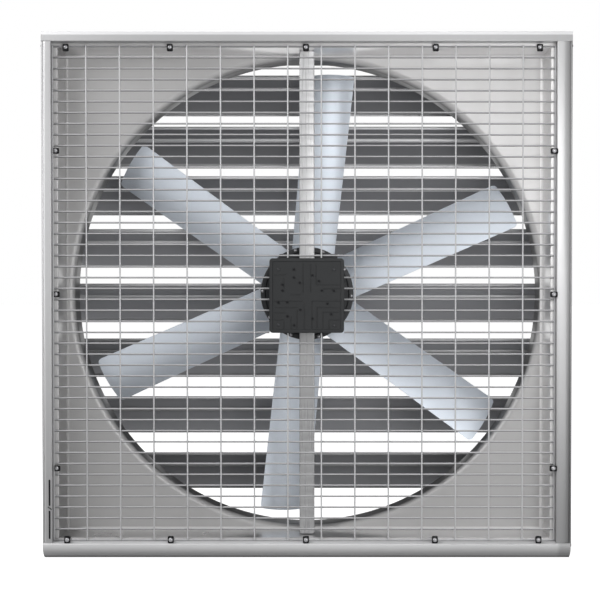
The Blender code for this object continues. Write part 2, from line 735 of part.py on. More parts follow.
def case_shell(front, rear, closed_at_front):
    """One half of the controller box: a rounded tray with its open side at the split."""
    half = CASE_SIZE / 2
    low = (-half, back(front), CASE_CENTRE_HEIGHT - half)
    high = (half, back(rear), CASE_CENTRE_HEIGHT + half)
    outside = rounded_box(low, high, CASE_ROUND, CASE_SEGMENTS, runs_along(1))
    wall = CASE_WALL
    if closed_at_front:
        inner_front = front + CASE_RIM_HEIGHT + wall
        inner_rear = rear + OVERRUN
    else:
        inner_front = front - OVERRUN
        inner_rear = rear - wall
    inside = rounded_box((-half + wall, back(inner_front), CASE_CENTRE_HEIGHT - half + wall),
                         (half - wall, back(inner_rear), CASE_CENTRE_HEIGHT + half - wall),
                         CASE_ROUND - wall, CASE_SEGMENTS, runs_along(1))
    return combined(outside, [inside], "DIFFERENCE")


def add_controller(parts, cover_finish, plate_finish, board_finish):
    """Cover, base, circuit board and the plate that holds the box on the post."""
    half = CASE_SIZE / 2
    inset = half - CASE_RIM
    cover = case_shell(0, CASE_SPLIT_DEPTH, True)
    recess = rounded_box((-inset, back(-OVERRUN), CASE_CENTRE_HEIGHT - inset),
                         (inset, back(CASE_RIM_HEIGHT), CASE_CENTRE_HEIGHT + inset),
                         CASE_ROUND / 2, CASE_SEGMENTS, runs_along(1))
    add_part("controller_cover", combined(cover, [recess], "DIFFERENCE"), cover_finish, parts)
    base = case_shell(CASE_SPLIT_DEPTH + SEAT_GAP, CASE_BACK_DEPTH, False)
    add_part("controller_base", base, cover_finish, parts)
    board_back = CASE_BACK_DEPTH - CASE_WALL - SEAT_GAP
    board = box((-BOARD_SIZE / 2, back(board_back - BOARD_THICKNESS), CASE_CENTRE_HEIGHT - BOARD_SIZE / 2),
                (BOARD_SIZE / 2, back(board_back), CASE_CENTRE_HEIGHT + BOARD_SIZE / 2))
    add_part("controller_board", board, board_finish, parts)
    plate_low = CASE_CENTRE_HEIGHT - half + PLATE_DROP
    plate_high = CASE_CENTRE_HEIGHT + half + PLATE_RISE
    plate = rounded_box((-PLATE_WIDTH / 2, back(PLATE_DEPTH), plate_low),
                        (PLATE_WIDTH / 2, back(PLATE_DEPTH + PLATE_SHEET), plate_high),
                        PLATE_CHAMFER, 1, runs_along(1))
    add_part("controller_plate", plate, plate_finish, parts)


def add_motor(parts, black, copper, steel):
    """Pieces of the motor that stand still."""
    pocket = SHIELD_BACK_DEPTH - BEARING_POCKET
    hole = BEARING_RADIUS + SEAT_GAP
    shield = turned([(0, SHIELD_DEPTH), (SHIELD_RADIUS - SHIELD_ROUND, SHIELD_DEPTH),
                     (SHIELD_RADIUS, SHIELD_DEPTH + SHIELD_ROUND), (SHIELD_RADIUS, SHIELD_BACK_DEPTH),
                     (hole, SHIELD_BACK_DEPTH), (hole, pocket), (0, pocket)], MOTOR_SEGMENTS, False)
    add_part("motor_end_shield", shield, black, parts, smooth_angle=SMOOTH_ANGLE)
    start = CASING_START_DEPTH
    bore = CASING_RADIUS - CASING_WALL
    inner_end = CASING_END_DEPTH - CASING_BACK
    casing = turned([(bore, start), (CASING_RADIUS, start), (CASING_RADIUS, CASING_END_DEPTH),
                     (hole, CASING_END_DEPTH), (hole, inner_end), (bore, inner_end)],
                    MOTOR_SEGMENTS, True)
    add_part("motor_casing", casing, black, parts, smooth_angle=SMOOTH_ANGLE)
    stator = ring(STATOR_INNER_RADIUS, bore - SEAT_GAP, STATOR_START_DEPTH,
                  STATOR_START_DEPTH + STATOR_LENGTH, MOTOR_SEGMENTS)
    add_part("motor_stator", stator, copper, parts)
    front_start = pocket + SEAT_GAP
    front = ring(SHAFT_RADIUS + SEAT_GAP, BEARING_RADIUS, front_start, front_start + BEARING_WIDTH,
                 SHAFT_SEGMENTS)
    add_part("motor_bearing_front", front, steel, parts)
    rear = ring(SHAFT_RADIUS + SEAT_GAP, BEARING_RADIUS, CASING_END_DEPTH - BEARING_WIDTH,
                CASING_END_DEPTH, SHAFT_SEGMENTS)
    add_part("motor_bearing_rear", rear, steel, parts)


def blade_point(reach, share):
    """A point of the blade sheet: distance out from the axis, share across from the leading edge."""
    out = (reach - BLADE_ROOT) / (TIP_RADIUS - BLADE_ROOT)
    trailing = TRAILING_OFFSET_ROOT + (TRAILING_OFFSET_TIP - TRAILING_OFFSET_ROOT) * out
    lead_depth = ROTOR_DEPTH + TIP_SETBACK * out
    trail_depth = ROTOR_BACK_DEPTH - TIP_SETBACK * out
    across = -LEADING_OFFSET + (trailing + LEADING_OFFSET) * share
    depth = lead_depth + (trail_depth - lead_depth) * share
    chord = math.hypot(trailing + LEADING_OFFSET, trail_depth - lead_depth)
    bulge = CAMBER_SHARE * chord * 4 * share * (1 - share)
    pitch = math.atan2(trail_depth - lead_depth, trailing + LEADING_OFFSET)
    across += bulge * math.sin(pitch)
    depth -= bulge * math.cos(pitch)
    return across, depth


def shifted_blade_point(reach, share, shift):
    """A point that lies shift behind the blade surface, square to its chord line there."""
    across, depth = blade_point(reach, share)
    before_across, before_depth = blade_point(reach, share - SLOPE_STEP_SHARE)
    after_across, after_depth = blade_point(reach, share + SLOPE_STEP_SHARE)
    slope = math.atan2(after_depth - before_depth, after_across - before_across)
    return across - shift * math.sin(slope), depth + shift * math.cos(slope)


def blade_sheet(reaches, shares, shift, cut_to_tip, thickness):
    """A strip of the blade surface, shifted towards the outlet and given its thickness."""
    bm = bmesh.new()
    rows = []
    for number, reach in enumerate(reaches):
        row = []
        for share in shares:
            across, depth = shifted_blade_point(reach, share, shift)
            out = reach
            if cut_to_tip and number == len(reaches) - 1:
                out = math.sqrt(TIP_RADIUS ** 2 - across ** 2)
            row.append(bm.verts.new((out, back(depth), across)))
        rows.append(row)
    for inner, outer in zip(rows, rows[1:]):
        for i in range(len(shares) - 1):
            bm.faces.new((inner[i], outer[i], outer[i + 1], inner[i + 1]))
    return thickened(mesh_from(bm, "blade_sheet"), thickness, -1.0)


def spread(first, last, steps):
    """Even steps from first to last."""
    return [first + (last - first) * i / steps for i in range(steps + 1)]


def blade_turn(number):
    """Turn and lift that bring a blade drawn along +X to its place round the axis."""
    angle = BLADE_PHASE + math.tau * number / BLADE_COUNT
    return Matrix.Translation((0, 0, CENTRE_HEIGHT)) @ Matrix.Rotation(-angle, 4, "Y")


def add_rotor(parts, blade_finish, hub_finish, steel, iron, axle):
    """Hub with arms, blades, shaft, core and nut, all on the axle's empty."""
    hub = ring(SHAFT_RADIUS + SEAT_GAP, HUB_RADIUS, HUB_START_DEPTH, HUB_END_DEPTH, HUB_SEGMENTS)
    arms = []
    for number in range(BLADE_COUNT):
        arm = blade_sheet(spread(ARM_START, ARM_END, ARM_REACH_SEGMENTS),
                          spread(ARM_FIRST_SHARE, ARM_LAST_SHARE, ARM_CHORD_SEGMENTS),
                          BLADE_SHEET + SEAT_GAP, False, ARM_THICKNESS)
        arm.transform(blade_turn(number))
        arms.append(arm)
    turning = [add_part("fan_hub", combined(hub, arms, "UNION"), hub_finish, parts)]
    for number in range(BLADE_COUNT):
        blade = blade_sheet(spread(BLADE_ROOT, TIP_RADIUS, BLADE_REACH_SEGMENTS),
                            spread(0.0, 1.0, BLADE_CHORD_SEGMENTS), 0, True, BLADE_SHEET)
        blade.transform(blade_turn(number))
        turning.append(add_part(f"fan_blade_{number + 1}", blade, blade_finish, parts,
                                smooth_angle=SMOOTH_ANGLE))
    shaft_start = SHIELD_BACK_DEPTH - BEARING_POCKET + 2 * SEAT_GAP
    shaft = rod((0, back(shaft_start), CENTRE_HEIGHT), (0, 1, 0), SHAFT_RADIUS,
                SHAFT_END_DEPTH - shaft_start, SHAFT_SEGMENTS)
    turning.append(add_part("motor_shaft", shaft, steel, parts))
    core_start = STATOR_START_DEPTH + (STATOR_LENGTH - CORE_LENGTH) / 2
    core = ring(SHAFT_RADIUS + SEAT_GAP, STATOR_INNER_RADIUS - AIR_GAP, core_start,
                core_start + CORE_LENGTH, MOTOR_SEGMENTS)
    turning.append(add_part("motor_rotor_core", core, iron, parts))
    nut_start = HUB_END_DEPTH + SEAT_GAP
    flange = rod((0, back(nut_start), CENTRE_HEIGHT), (0, 1, 0), NUT_FLANGE_RADIUS,
                 NUT_FLANGE_THICKNESS, SHAFT_SEGMENTS)
    hexagon = rod((0, back(nut_start), CENTRE_HEIGHT), (0, 1, 0), NUT_RADIUS, NUT_LENGTH, NUT_SEGMENTS)
    bore = rod((0, back(nut_start) - OVERRUN, CENTRE_HEIGHT), (0, 1, 0), SHAFT_RADIUS + SEAT_GAP,
               NUT_LENGTH + 2 * OVERRUN, SHAFT_SEGMENTS)
    nut = combined(combined(flange, [hexagon], "UNION"), [bore], "DIFFERENCE")
    turning.append(add_part("shaft_nut", nut, steel, parts))
    for piece in turning:
        hang_on(piece, axle)


def pivot_heights():
    """Z of each shutter pivot, from the top down."""
    heights = [HOUSING_HEIGHT - SHUTTER_TOP_INSET]
    for share in SHUTTER_PITCH_SHARES:
        heights.append(heights[-1] - share * SHUTTER_SPAN)
    return heights


def along_blade(angle, down, out):
    """(y, z) of a point on a shutter blade: down its face from the pivot, and out from it."""
    y = down * math.sin(angle) + out * math.cos(angle)
    z = -down * math.cos(angle) + out * math.sin(angle)
    return y, z


def shutter_blade_mesh(angle):
    """One blade about its pivot at the origin: hemmed sheet, pivot bead, pins and crank."""
    section = [(-UPPER_CHORD + HEM_WIDTH, 0), (LOWER_CHORD - HEM_WIDTH, 0)]
    section = [(-UPPER_CHORD, HEM_TURN)] + section + [(LOWER_CHORD, HEM_TURN)]
    bm = bmesh.new()
    rows = []
    for x in (-SHUTTER_HALF_LENGTH, SHUTTER_HALF_LENGTH):
        rows.append([bm.verts.new((x, *along_blade(angle, down, -out))) for down, out in section])
    for i in range(len(section) - 1):
        bm.faces.new((rows[0][i], rows[1][i], rows[1][i + 1], rows[0][i + 1]))
    sheet = thickened(mesh_from(bm, "shutter_sheet"), SHUTTER_SHEET, 0.0)
    bead = rod((-SHUTTER_HALF_LENGTH, 0, 0), (1, 0, 0), BEAD_RADIUS, 2 * SHUTTER_HALF_LENGTH, PIN_SEGMENTS)
    pin = rod((-PIN_REACH, 0, 0), (1, 0, 0), PIN_RADIUS, 2 * PIN_REACH, PIN_SEGMENTS)
    return combined(sheet, [bead, pin, crank_mesh(angle), crank_pin_mesh()], "UNION")


def crank_offset():
    """(y, z) from a pivot to its crank pin, at rest."""
    return along_blade(CRANK_ANGLE, CRANK_RADIUS, 0)


def crank_mesh(angle):
    """The crank plate: a strip from the lower half of the blade out to the eye."""
    eye_y, eye_z = crank_offset()
    root = LOWER_CHORD - HEM_WIDTH - CRANK_ROOT_WIDTH
    outline = [along_blade(angle, root, 0), along_blade(angle, root + CRANK_ROOT_WIDTH, 0)]
    toward = math.atan2(eye_z - outline[1][1], eye_y - outline[1][0])
    for step in range(CRANK_EYE_SEGMENTS + 1):
        bend = toward - math.pi / 2 + math.pi * step / CRANK_EYE_SEGMENTS
        outline.append((eye_y + CRANK_EYE_RADIUS * math.cos(bend),
                        eye_z + CRANK_EYE_RADIUS * math.sin(bend)))
    return extruded_x(outline, -CRANK_THICKNESS / 2, CRANK_THICKNESS / 2)


def crank_pin_mesh():
    """The pin that the tie bar hangs on."""
    eye_y, eye_z = crank_offset()
    reach = CRANK_THICKNESS / 2 + SEAT_GAP + TIE_BAR_THICKNESS + SEAT_GAP
    return rod((0, eye_y, eye_z), (1, 0, 0), CRANK_PIN_RADIUS, reach, PIN_SEGMENTS)


def add_shutter(parts, blade_finish, rail_finish):
    """Side rails, blades on their pivots and the tie bar that joins the cranks."""
    heights = pivot_heights()
    low = BOTTOM_RAIL + SEAT_GAP
    high = HOUSING_HEIGHT - TOP_RAIL - SEAT_GAP
    rear = back(HOUSING_DEPTH - SHEET - SEAT_GAP)
    for name, side in (("shutter_rail_left", -1), ("shutter_rail_right", 1)):
        near = side * SIDE_RAIL_FACE
        far = side * (SIDE_RAIL_FACE + SIDE_RAIL_THICKNESS)
        rail = box((min(near, far), back(SIDE_RAIL_FRONT_DEPTH), low), (max(near, far), rear, high))
        holes = [rod((near - side * OVERRUN, back(PIVOT_DEPTH), z), (side, 0, 0),
                     PIN_RADIUS + PIN_CLEARANCE, SIDE_RAIL_THICKNESS + 2 * OVERRUN, PIN_SEGMENTS)
                 for z in heights]
        add_part(name, combined(rail, holes, "DIFFERENCE"), rail_finish, parts)
    for number, height in enumerate(heights, start=1):
        angle = BLADE_ANGLE_TOP - BLADE_ANGLE_STEP * (number - 1)
        mesh = shutter_blade_mesh(angle)
        place = (0, back(PIVOT_DEPTH), height)
        mesh.transform(Matrix.Translation(place))
        add_part(f"shutter_blade_{number}", mesh, blade_finish, parts, origin=place)
    add_tie_bar(parts, rail_finish, heights)


def add_tie_bar(parts, finish, heights):
    """Flat strip with a hole for each crank pin."""
    eye_y, eye_z = crank_offset()
    y = back(PIVOT_DEPTH) + eye_y
    half = TIE_BAR_WIDTH / 2
    low = heights[-1] + eye_z - TIE_BAR_OVERHANG
    high = heights[0] + eye_z + TIE_BAR_OVERHANG
    bar = box((TIE_BAR_FACE, y - half, low), (TIE_BAR_FACE + TIE_BAR_THICKNESS, y + half, high))
    holes = [rod((TIE_BAR_FACE - OVERRUN, y, height + eye_z), (1, 0, 0), CRANK_PIN_RADIUS + PIN_CLEARANCE,
                 TIE_BAR_THICKNESS + 2 * OVERRUN, PIN_SEGMENTS) for height in heights]
    mesh = combined(bar, holes, "DIFFERENCE")
    add_part("shutter_tie_bar", mesh, finish, parts, origin=(TIE_BAR_FACE, y, heights[0] + eye_z))


def build():
    """Make every sub-part."""
    clear_scene()
    parts = bpy.data.collections.new("wall_exhaust_fan")
    bpy.context.scene.collection.children.link(parts)
    galvanised = material("galvanised_sheet", (0.62, 0.63, 0.64), 0.38, 0.85)
    wire = material("zinc_wire", (0.66, 0.66, 0.66), 0.40, 0.80)
    blade_steel = material("blade_sheet_metal", (0.66, 0.69, 0.73), 0.42, 0.60)
    shutter_metal = material("shutter_sheet_metal", (0.45, 0.46, 0.48), 0.45, 0.70)
    black = material("black_plastic", (0.045, 0.045, 0.050), 0.45, 0.0)
    black_metal = material("black_enamel", (0.050, 0.050, 0.055), 0.40, 0.0)
    steel = material("bright_steel", (0.62, 0.62, 0.63), 0.25, 1.0)
    iron = material("core_iron", (0.25, 0.25, 0.26), 0.50, 0.9)
    copper = material("winding_copper", (0.55, 0.28, 0.15), 0.45, 0.9)
    board = material("board_green", (0.05, 0.22, 0.09), 0.50, 0.0)
    bolt = material("dark_bolt", (0.12, 0.12, 0.12), 0.45, 0.8)
    hub = material("cast_hub", (0.30, 0.31, 0.32), 0.50, 0.7)

    add_housing(parts, galvanised)
    add_side_bolts(parts, bolt)
    add_guard_frame(parts, galvanised)
    add_venturi(parts, galvanised)
    add_guard(parts, wire)
    add_clips(parts, black)
    add_post(parts, galvanised)
    add_controller(parts, black, black_metal, board)
    add_motor(parts, black_metal, copper, steel)
    axle = add_empty("fan_axle", (0, back(HUB_START_DEPTH), CENTRE_HEIGHT), parts)
    add_rotor(parts, blade_steel, hub, steel, iron, axle)
    add_shutter(parts, shutter_metal, galvanised)


build()
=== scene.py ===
# %% [markdown]
# # A wall exhaust fan in Blender
# This notebook dresses a working CAD model of a square exhaust fan: a folded sheet-metal box
# with a bell mouth, a welded wire guard, a motor on a post, six blades and a louvre shutter.
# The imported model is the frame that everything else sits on. It comes in first, in metres,
# so each new piece goes exactly where the real one is, and rides on the body it belongs to.

# %% Load the frame
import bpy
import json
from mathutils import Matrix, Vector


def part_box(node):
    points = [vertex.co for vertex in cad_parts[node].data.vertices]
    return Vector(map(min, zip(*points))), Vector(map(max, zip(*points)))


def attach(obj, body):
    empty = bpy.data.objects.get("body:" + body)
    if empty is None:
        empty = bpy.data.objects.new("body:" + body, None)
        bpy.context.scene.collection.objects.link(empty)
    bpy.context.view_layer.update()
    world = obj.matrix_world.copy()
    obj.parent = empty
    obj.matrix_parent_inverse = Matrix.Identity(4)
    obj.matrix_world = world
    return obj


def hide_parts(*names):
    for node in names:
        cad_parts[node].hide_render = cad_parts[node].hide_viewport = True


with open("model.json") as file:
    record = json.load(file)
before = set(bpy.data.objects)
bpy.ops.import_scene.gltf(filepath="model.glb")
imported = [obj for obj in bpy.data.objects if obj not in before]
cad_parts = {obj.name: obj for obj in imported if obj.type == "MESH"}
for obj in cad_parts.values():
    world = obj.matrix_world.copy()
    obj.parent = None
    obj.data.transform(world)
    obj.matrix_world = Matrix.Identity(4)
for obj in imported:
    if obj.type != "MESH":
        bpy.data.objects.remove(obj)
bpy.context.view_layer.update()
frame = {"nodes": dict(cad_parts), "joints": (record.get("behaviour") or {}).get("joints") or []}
print("packed nodes:", len(frame["nodes"]))

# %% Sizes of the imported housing
import json
import math

import bmesh
import bpy
from mathutils import Matrix, Vector

HOUSING_LOW, HOUSING_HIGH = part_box("housing_top_panel")
FRONT = HOUSING_LOW.y
REAR = HOUSING_HIGH.y
HALF_WIDTH = HOUSING_HIGH.x
TOP = HOUSING_HIGH.z
CENTRE = Vector((0.0, FRONT, TOP / 2))
print("front plane y", round(FRONT, 4), "housing", round(2 * HALF_WIDTH, 3), "by", round(TOP, 3))

# %% [markdown]
# ## A kit for finishes
# A finish is a Principled shader whose colour, roughness and relief follow procedural
# textures. They could come from painted images, but nodes need no unwrapping and stay sharp
# from close by. Every texture reads Object coordinates, so a pattern has the same size on
# every piece and moves with it. The finishes differ only in a few numbers, so small helpers
# put their nodes together.

# %% A new finish
def new_finish(name, colour, roughness, metallic, specular=0.5):
    """A material with a Principled shader."""
    finish = bpy.data.materials.new(name)
    finish.use_nodes = True
    shader = shader_of(finish)
    shader.inputs["Base Color"].default_value = (*colour, 1.0)
    shader.inputs["Roughness"].default_value = roughness
    shader.inputs["Metallic"].default_value = metallic
    shader.inputs["Specular IOR Level"].default_value = specular
    return finish


def shader_of(finish):
    """The Principled shader of a finish."""
    return finish.node_tree.nodes["Principled BSDF"]


# %% Textures and the range of their values
def texture(finish, kind, scale, stretch=(1.0, 1.0, 1.0), detail=None):
    """A procedural texture on Object coordinates."""
    nodes = finish.node_tree.nodes
    links = finish.node_tree.links
    place = nodes.new("ShaderNodeTexCoord")
    mapping = nodes.new("ShaderNodeMapping")
    mapping.inputs["Scale"].default_value = stretch
    made = nodes.new(kind)
    made.inputs["Scale"].default_value = scale
    if detail is not None:
        made.inputs["Detail"].default_value = detail
    links.new(place.outputs["Object"], mapping.inputs["Vector"])
    links.new(mapping.outputs["Vector"], made.inputs["Vector"])
    return made


def ranged(finish, output, between, spread_to, smooth=False):
    """Spreads a value that lies between two numbers to two others."""
    spread = finish.node_tree.nodes.new("ShaderNodeMapRange")
    if smooth:
        spread.interpolation_type = "SMOOTHSTEP"
    spread.inputs["From Min"].default_value = between[0]
    spread.inputs["From Max"].default_value = between[1]
    spread.inputs["To Min"].default_value = spread_to[0]
    spread.inputs["To Max"].default_value = spread_to[1]
    finish.node_tree.links.new(output, spread.inputs["Value"])
    return spread.outputs["Result"]


def swung(finish, output, middle, swing):
    """Spreads a texture's 0 to 1 value evenly about a middle."""
    return ranged(finish, output, (0.0, 1.0), (middle - swing, middle + swing))


# %% Colour factors and relief
def scaled_colour(finish, factor):
    """Multiplies the base colour by one more factor."""
    links = finish.node_tree.links
    colour = shader_of(finish).inputs["Base Color"]
    scaled = finish.node_tree.nodes.new("ShaderNodeVectorMath")
    scaled.operation = "SCALE"
    if colour.is_linked:
        links.new(colour.links[0].from_socket, scaled.inputs[0])
    else:
        scaled.inputs[0].default_value = colour.default_value[:3]
    links.new(factor, scaled.inputs["Scale"])
    links.new(scaled.outputs["Vector"], colour)


def bumped(finish, output, strength, distance):
    """Fine relief from a texture, of a strength and a height in metres."""
    bump = finish.node_tree.nodes.new("ShaderNodeBump")
    bump.inputs["Strength"].default_value = strength
    bump.inputs["Distance"].default_value = distance
    finish.node_tree.links.new(output, bump.inputs["Height"])
    finish.node_tree.links.new(bump.outputs["Normal"], shader_of(finish).inputs["Normal"])


# %% [markdown]
# ## Zinc-coated sheet
# Galvanised sheet is never one flat grey. Zinc sets in faint flat crystals, and handling and
# rain leave soft clouds on it. A Voronoi cell pattern gives the crystals and a Noise gives the
# clouds. Both only nudge the finish, because this sheet is new. Each wall also gets painted
# light and shade that changes slowly over it: painted shade on the outer edges, towards the
# floor and in the throat, and painted highlights on rolled beads and lips. A smooth step
# between two places on the object gives each of these, so the painted light belongs to the
# piece and looks the same from everywhere.

# %% Crystals, clouds and rolling grain
SPANGLE_SCALE = 70.0
SPANGLE_SWING = 0.008
CLOUD_SCALE = 2.6
CLOUD_SWING = 0.03
CLOUD_ROUGHNESS = 0.02
GRAIN_SCALE = 420.0
GRAIN_STRETCH = (1.0, 1.0, 0.06)
GRAIN_RELIEF = (0.12, 0.0004)
SHEET_SPECULAR = 0.3


def zinc_sheet(name, colour, roughness, metallic, painted_light=None):
    """Galvanised sheet: crystals, soft clouds, a faint rolling grain and the piece's painted light.
    """
    finish = new_finish(name, colour, roughness, metallic, SHEET_SPECULAR)
    crystals = texture(finish, "ShaderNodeTexVoronoi", SPANGLE_SCALE)
    clouds = texture(finish, "ShaderNodeTexNoise", CLOUD_SCALE, detail=4.0)
    grain = texture(finish, "ShaderNodeTexNoise", GRAIN_SCALE, stretch=GRAIN_STRETCH, detail=2.0)
    scaled_colour(finish, swung(finish, crystals.outputs["Color"], 1.0, SPANGLE_SWING))
    scaled_colour(finish, swung(finish, clouds.outputs["Fac"], 1.0, CLOUD_SWING))
    # The piece's painted light and shade, where it has any.
    if painted_light is not None:
        scaled_colour(finish, painted_light(finish))
    rough = swung(finish, clouds.outputs["Fac"], roughness, CLOUD_ROUGHNESS)
    finish.node_tree.links.new(rough, shader_of(finish).inputs["Roughness"])
    bumped(finish, grain.outputs["Fac"], *GRAIN_RELIEF)
    return finish


# %% Factors by place on the object
def axis_value(finish, kind, axis):
    """One axis of the place on the object ("Object") or of the surface's direction ("Normal")."""
    place = finish.node_tree.nodes.new("ShaderNodeTexCoord")
    parts = finish.node_tree.nodes.new("ShaderNodeSeparateXYZ")
    finish.node_tree.links.new(place.outputs[kind], parts.inputs["Vector"])
    return parts.outputs[axis]


def along(finish, axis, between, factors):
    """A factor that runs smoothly from one number to another between two places on an axis."""
    return ranged(finish, axis_value(finish, "Object", axis), between, factors, smooth=True)


def combined(finish, operation, factors):
    """Joins factors with one operation, such as MULTIPLY or MAXIMUM."""
    last = factors[0]
    for factor in factors[1:]:
        both = finish.node_tree.nodes.new("ShaderNodeMath")
        both.operation = operation
        finish.node_tree.links.new(last, both.inputs[0])
        finish.node_tree.links.new(factor, both.inputs[1])
        last = both.outputs[0]
    return last


# %% Painted light and shade on the side rails
SPREAD = {-1: 0.0018, 1: 0.0026}
# Width, blur and strength of the painted shade on the rails' outer edges.
EDGE_WIDTH = 0.0020
EDGE_BLUR = 0.0007
EDGE_SHADE = 0.35
RAIL_BACK = (FRONT + 0.014, FRONT + 0.016)


def side_rail_painted_light(finish):
    """Painted shade on edges, right rail and ends; a painted highlight on the left bead."""
    left = -HALF_WIDTH - SPREAD[-1]
    right = HALF_WIDTH + SPREAD[1]
    behind = along(finish, "Y", RAIL_BACK, (0.0, 1.0))
    in_front = along(finish, "Y", RAIL_BACK, (2.0, 1.0))
    # Painted shade: the rails' outer edges are darker in colour.
    left_edge = along(finish, "X", (left + EDGE_WIDTH - EDGE_BLUR, left + EDGE_WIDTH),
                      (EDGE_SHADE, 1.0))
    right_edge = along(finish, "X", (right - EDGE_WIDTH, right - EDGE_WIDTH + EDGE_BLUR),
                       (1.0, EDGE_SHADE))
    edge_shade = combined(finish, "MULTIPLY", [left_edge, right_edge])
    # A painted highlight on the left bead, and painted shade across the right rail towards its
    # outside.
    left_bead_highlight = along(finish, "X", (left + 0.0075, left + 0.0105), (1.45, 1.08))
    right_turn_shade = along(finish, "X", (0.661, 0.690), (1.06, 0.66))
    # Painted shade towards the floor and the top, stronger low on the right rail.
    low_shade = along(finish, "Z", (0.05, 0.80), (0.64, 1.0))
    top_shade = along(finish, "Z", (1.05, 1.30), (1.0, 0.86))
    left_side = along(finish, "X", (-0.1, 0.1), (1.0, 0.0))
    right_low_shade = along(finish, "Z", (0.05, 0.85), (0.72, 1.0))
    return combined(finish, "MULTIPLY", [
        combined(finish, "MAXIMUM", [edge_shade, behind]),
        combined(finish, "MINIMUM", [left_bead_highlight, in_front]),
        combined(finish, "MAXIMUM", [right_turn_shade, behind]),
        low_shade, top_shade,
        combined(finish, "MAXIMUM", [right_low_shade, left_side])])


print("side rails reach x", round(-HALF_WIDTH - SPREAD[-1], 4), "and",
      round(HALF_WIDTH + SPREAD[1], 4))

# %% Painted light and shade on the upper and lower walls
def upper_wall_painted_light(finish):
    """A painted highlight on the top wall's rolled front edge; its darker base is painted shade."""
    in_front = along(finish, "Y", (FRONT + 0.018, FRONT + 0.024), (2.0, 1.04))
    # Painted highlight on the rolled outer edge in front.
    edge = along(finish, "Z", (TOP - 0.0155, TOP - 0.0115), (1.04, 1.8))
    return combined(finish, "MINIMUM", [edge, in_front])


def lower_wall_painted_light(finish):
    """Painted highlight on the lower rail's lip; painted shade down its face, beneath and to the
    right.
    """
    # A painted highlight on the lip, and painted shade from the top of the face down to its bottom.
    lip = along(finish, "Z", (0.0325, 0.0345), (1.0, 1.25))
    middle = along(finish, "Z", (-0.002, 0.030), (0.66, 1.18))
    # Painted shade under the rail, and more of it towards and at its right end.
    rail_underside_shade = along(finish, "Z", (-0.0015, 0.0040), (0.12, 1.0))
    behind = along(finish, "Y", (FRONT + 0.006, FRONT + 0.020), (0.0, 1.0))
    right_part_shade = along(finish, "X", (0.0, 0.55), (1.0, 0.84))
    right_end_shade = along(finish, "X", (0.651, 0.665), (1.0, 0.70))
    return combined(finish, "MULTIPLY", [
        lip, middle, combined(finish, "MAXIMUM", [rail_underside_shade, behind]), right_part_shade, right_end_shade])


# %% Painted shade and light on the bell panel and the mouth
FLANGE_TURN = (FRONT + 0.0305, FRONT + 0.0340)
FOLD_TURN = (FRONT + 0.1170, FRONT + 0.1250)
DULL_TO_SHINY = (0.10, 0.85)


def bell_painted_shade(finish):
    """Painted shade: the throat is darker than the flat panel, which darkens a little towards the
    floor.
    """
    # Painted shade inside the throat.
    throat_shade = along(finish, "Y", (FRONT + 0.135, FRONT + 0.149), (1.0, 0.20))
    low_shade = along(finish, "Z", (0.10, 0.70), (0.88, 1.0))
    return combined(finish, "MULTIPLY", [throat_shade, low_shade])


def mouth_painted_light(finish):
    """The wall shines as metal; painted light lifts the flange and wall, painted shade darkens the
    fold.
    """
    behind = along(finish, "Y", FLANGE_TURN, (0.0, 1.0))
    before_fold = along(finish, "Y", FOLD_TURN, (1.0, 0.0))
    flat_wall = combined(finish, "MULTIPLY", [behind, before_fold])
    shine = ranged(finish, flat_wall, (0.0, 1.0), DULL_TO_SHINY)
    finish.node_tree.links.new(shine, shader_of(finish).inputs["Metallic"])
    # Painted light lifts the flange, and the wall more, and painted shade darkens the fold.
    flange_and_wall_light = along(finish, "Y", FLANGE_TURN, (1.20, 1.65))
    fold_shade = along(finish, "Y", FOLD_TURN, (1.0, 0.84))
    # Painted shade on the left wall and towards the floor.
    left_wall_shade = along(finish, "X", (-0.640, -0.600), (0.62, 1.0))
    in_front = along(finish, "Y", FLANGE_TURN, (1.0, 0.0))
    low_shade = along(finish, "Z", (0.030, 0.600), (0.80, 1.0))
    return combined(finish, "MULTIPLY", [
        flange_and_wall_light, fold_shade, combined(finish, "MAXIMUM", [left_wall_shade, in_front]), low_shade])


# %% The sheet finishes
rail_zinc = zinc_sheet("rail_zinc", (0.42, 0.42, 0.425), 0.28, 0.12, side_rail_painted_light)
# The top wall's base colour, darker than the rails', is painted shade.
upper_zinc = zinc_sheet("upper_zinc", (0.34, 0.34, 0.345), 0.34, 0.10, upper_wall_painted_light)
lower_zinc = zinc_sheet("lower_zinc", (0.46, 0.46, 0.465), 0.40, 0.0, lower_wall_painted_light)
bell_zinc = zinc_sheet("bell_zinc", (0.43, 0.425, 0.425), 0.33, 0.15, bell_painted_shade)
mouth_zinc = zinc_sheet("mouth_zinc", (0.50, 0.495, 0.495), 0.28, 0.12, mouth_painted_light)
frame_zinc = zinc_sheet("frame_zinc", (0.42, 0.42, 0.43), 0.36, 0.30)
print("sheet finishes:", ", ".join(finish.name for finish in bpy.data.materials
                                   if finish.name.endswith("_zinc")))

# %% [markdown]
# ## Louvre sheet
# The louvres are darker than the housing as painted shade, and their rolled edges and lips
# get painted highlights. The edges could have a material of their own, with a hard border
# between the two.
# Instead each point of a louvre's mesh carries a number, 1 on a rolled edge and 0 on the flat,
# and the finish blends two colours by it. That gives a soft border and one material.

# %% Louvre sheet with bright rolled edges
BRIGHT_EDGE = "bright_edge"
# Colour of the painted highlight on the louvres' rolled edges.
EDGE_HIGHLIGHT_COLOUR = (0.66, 0.66, 0.67)


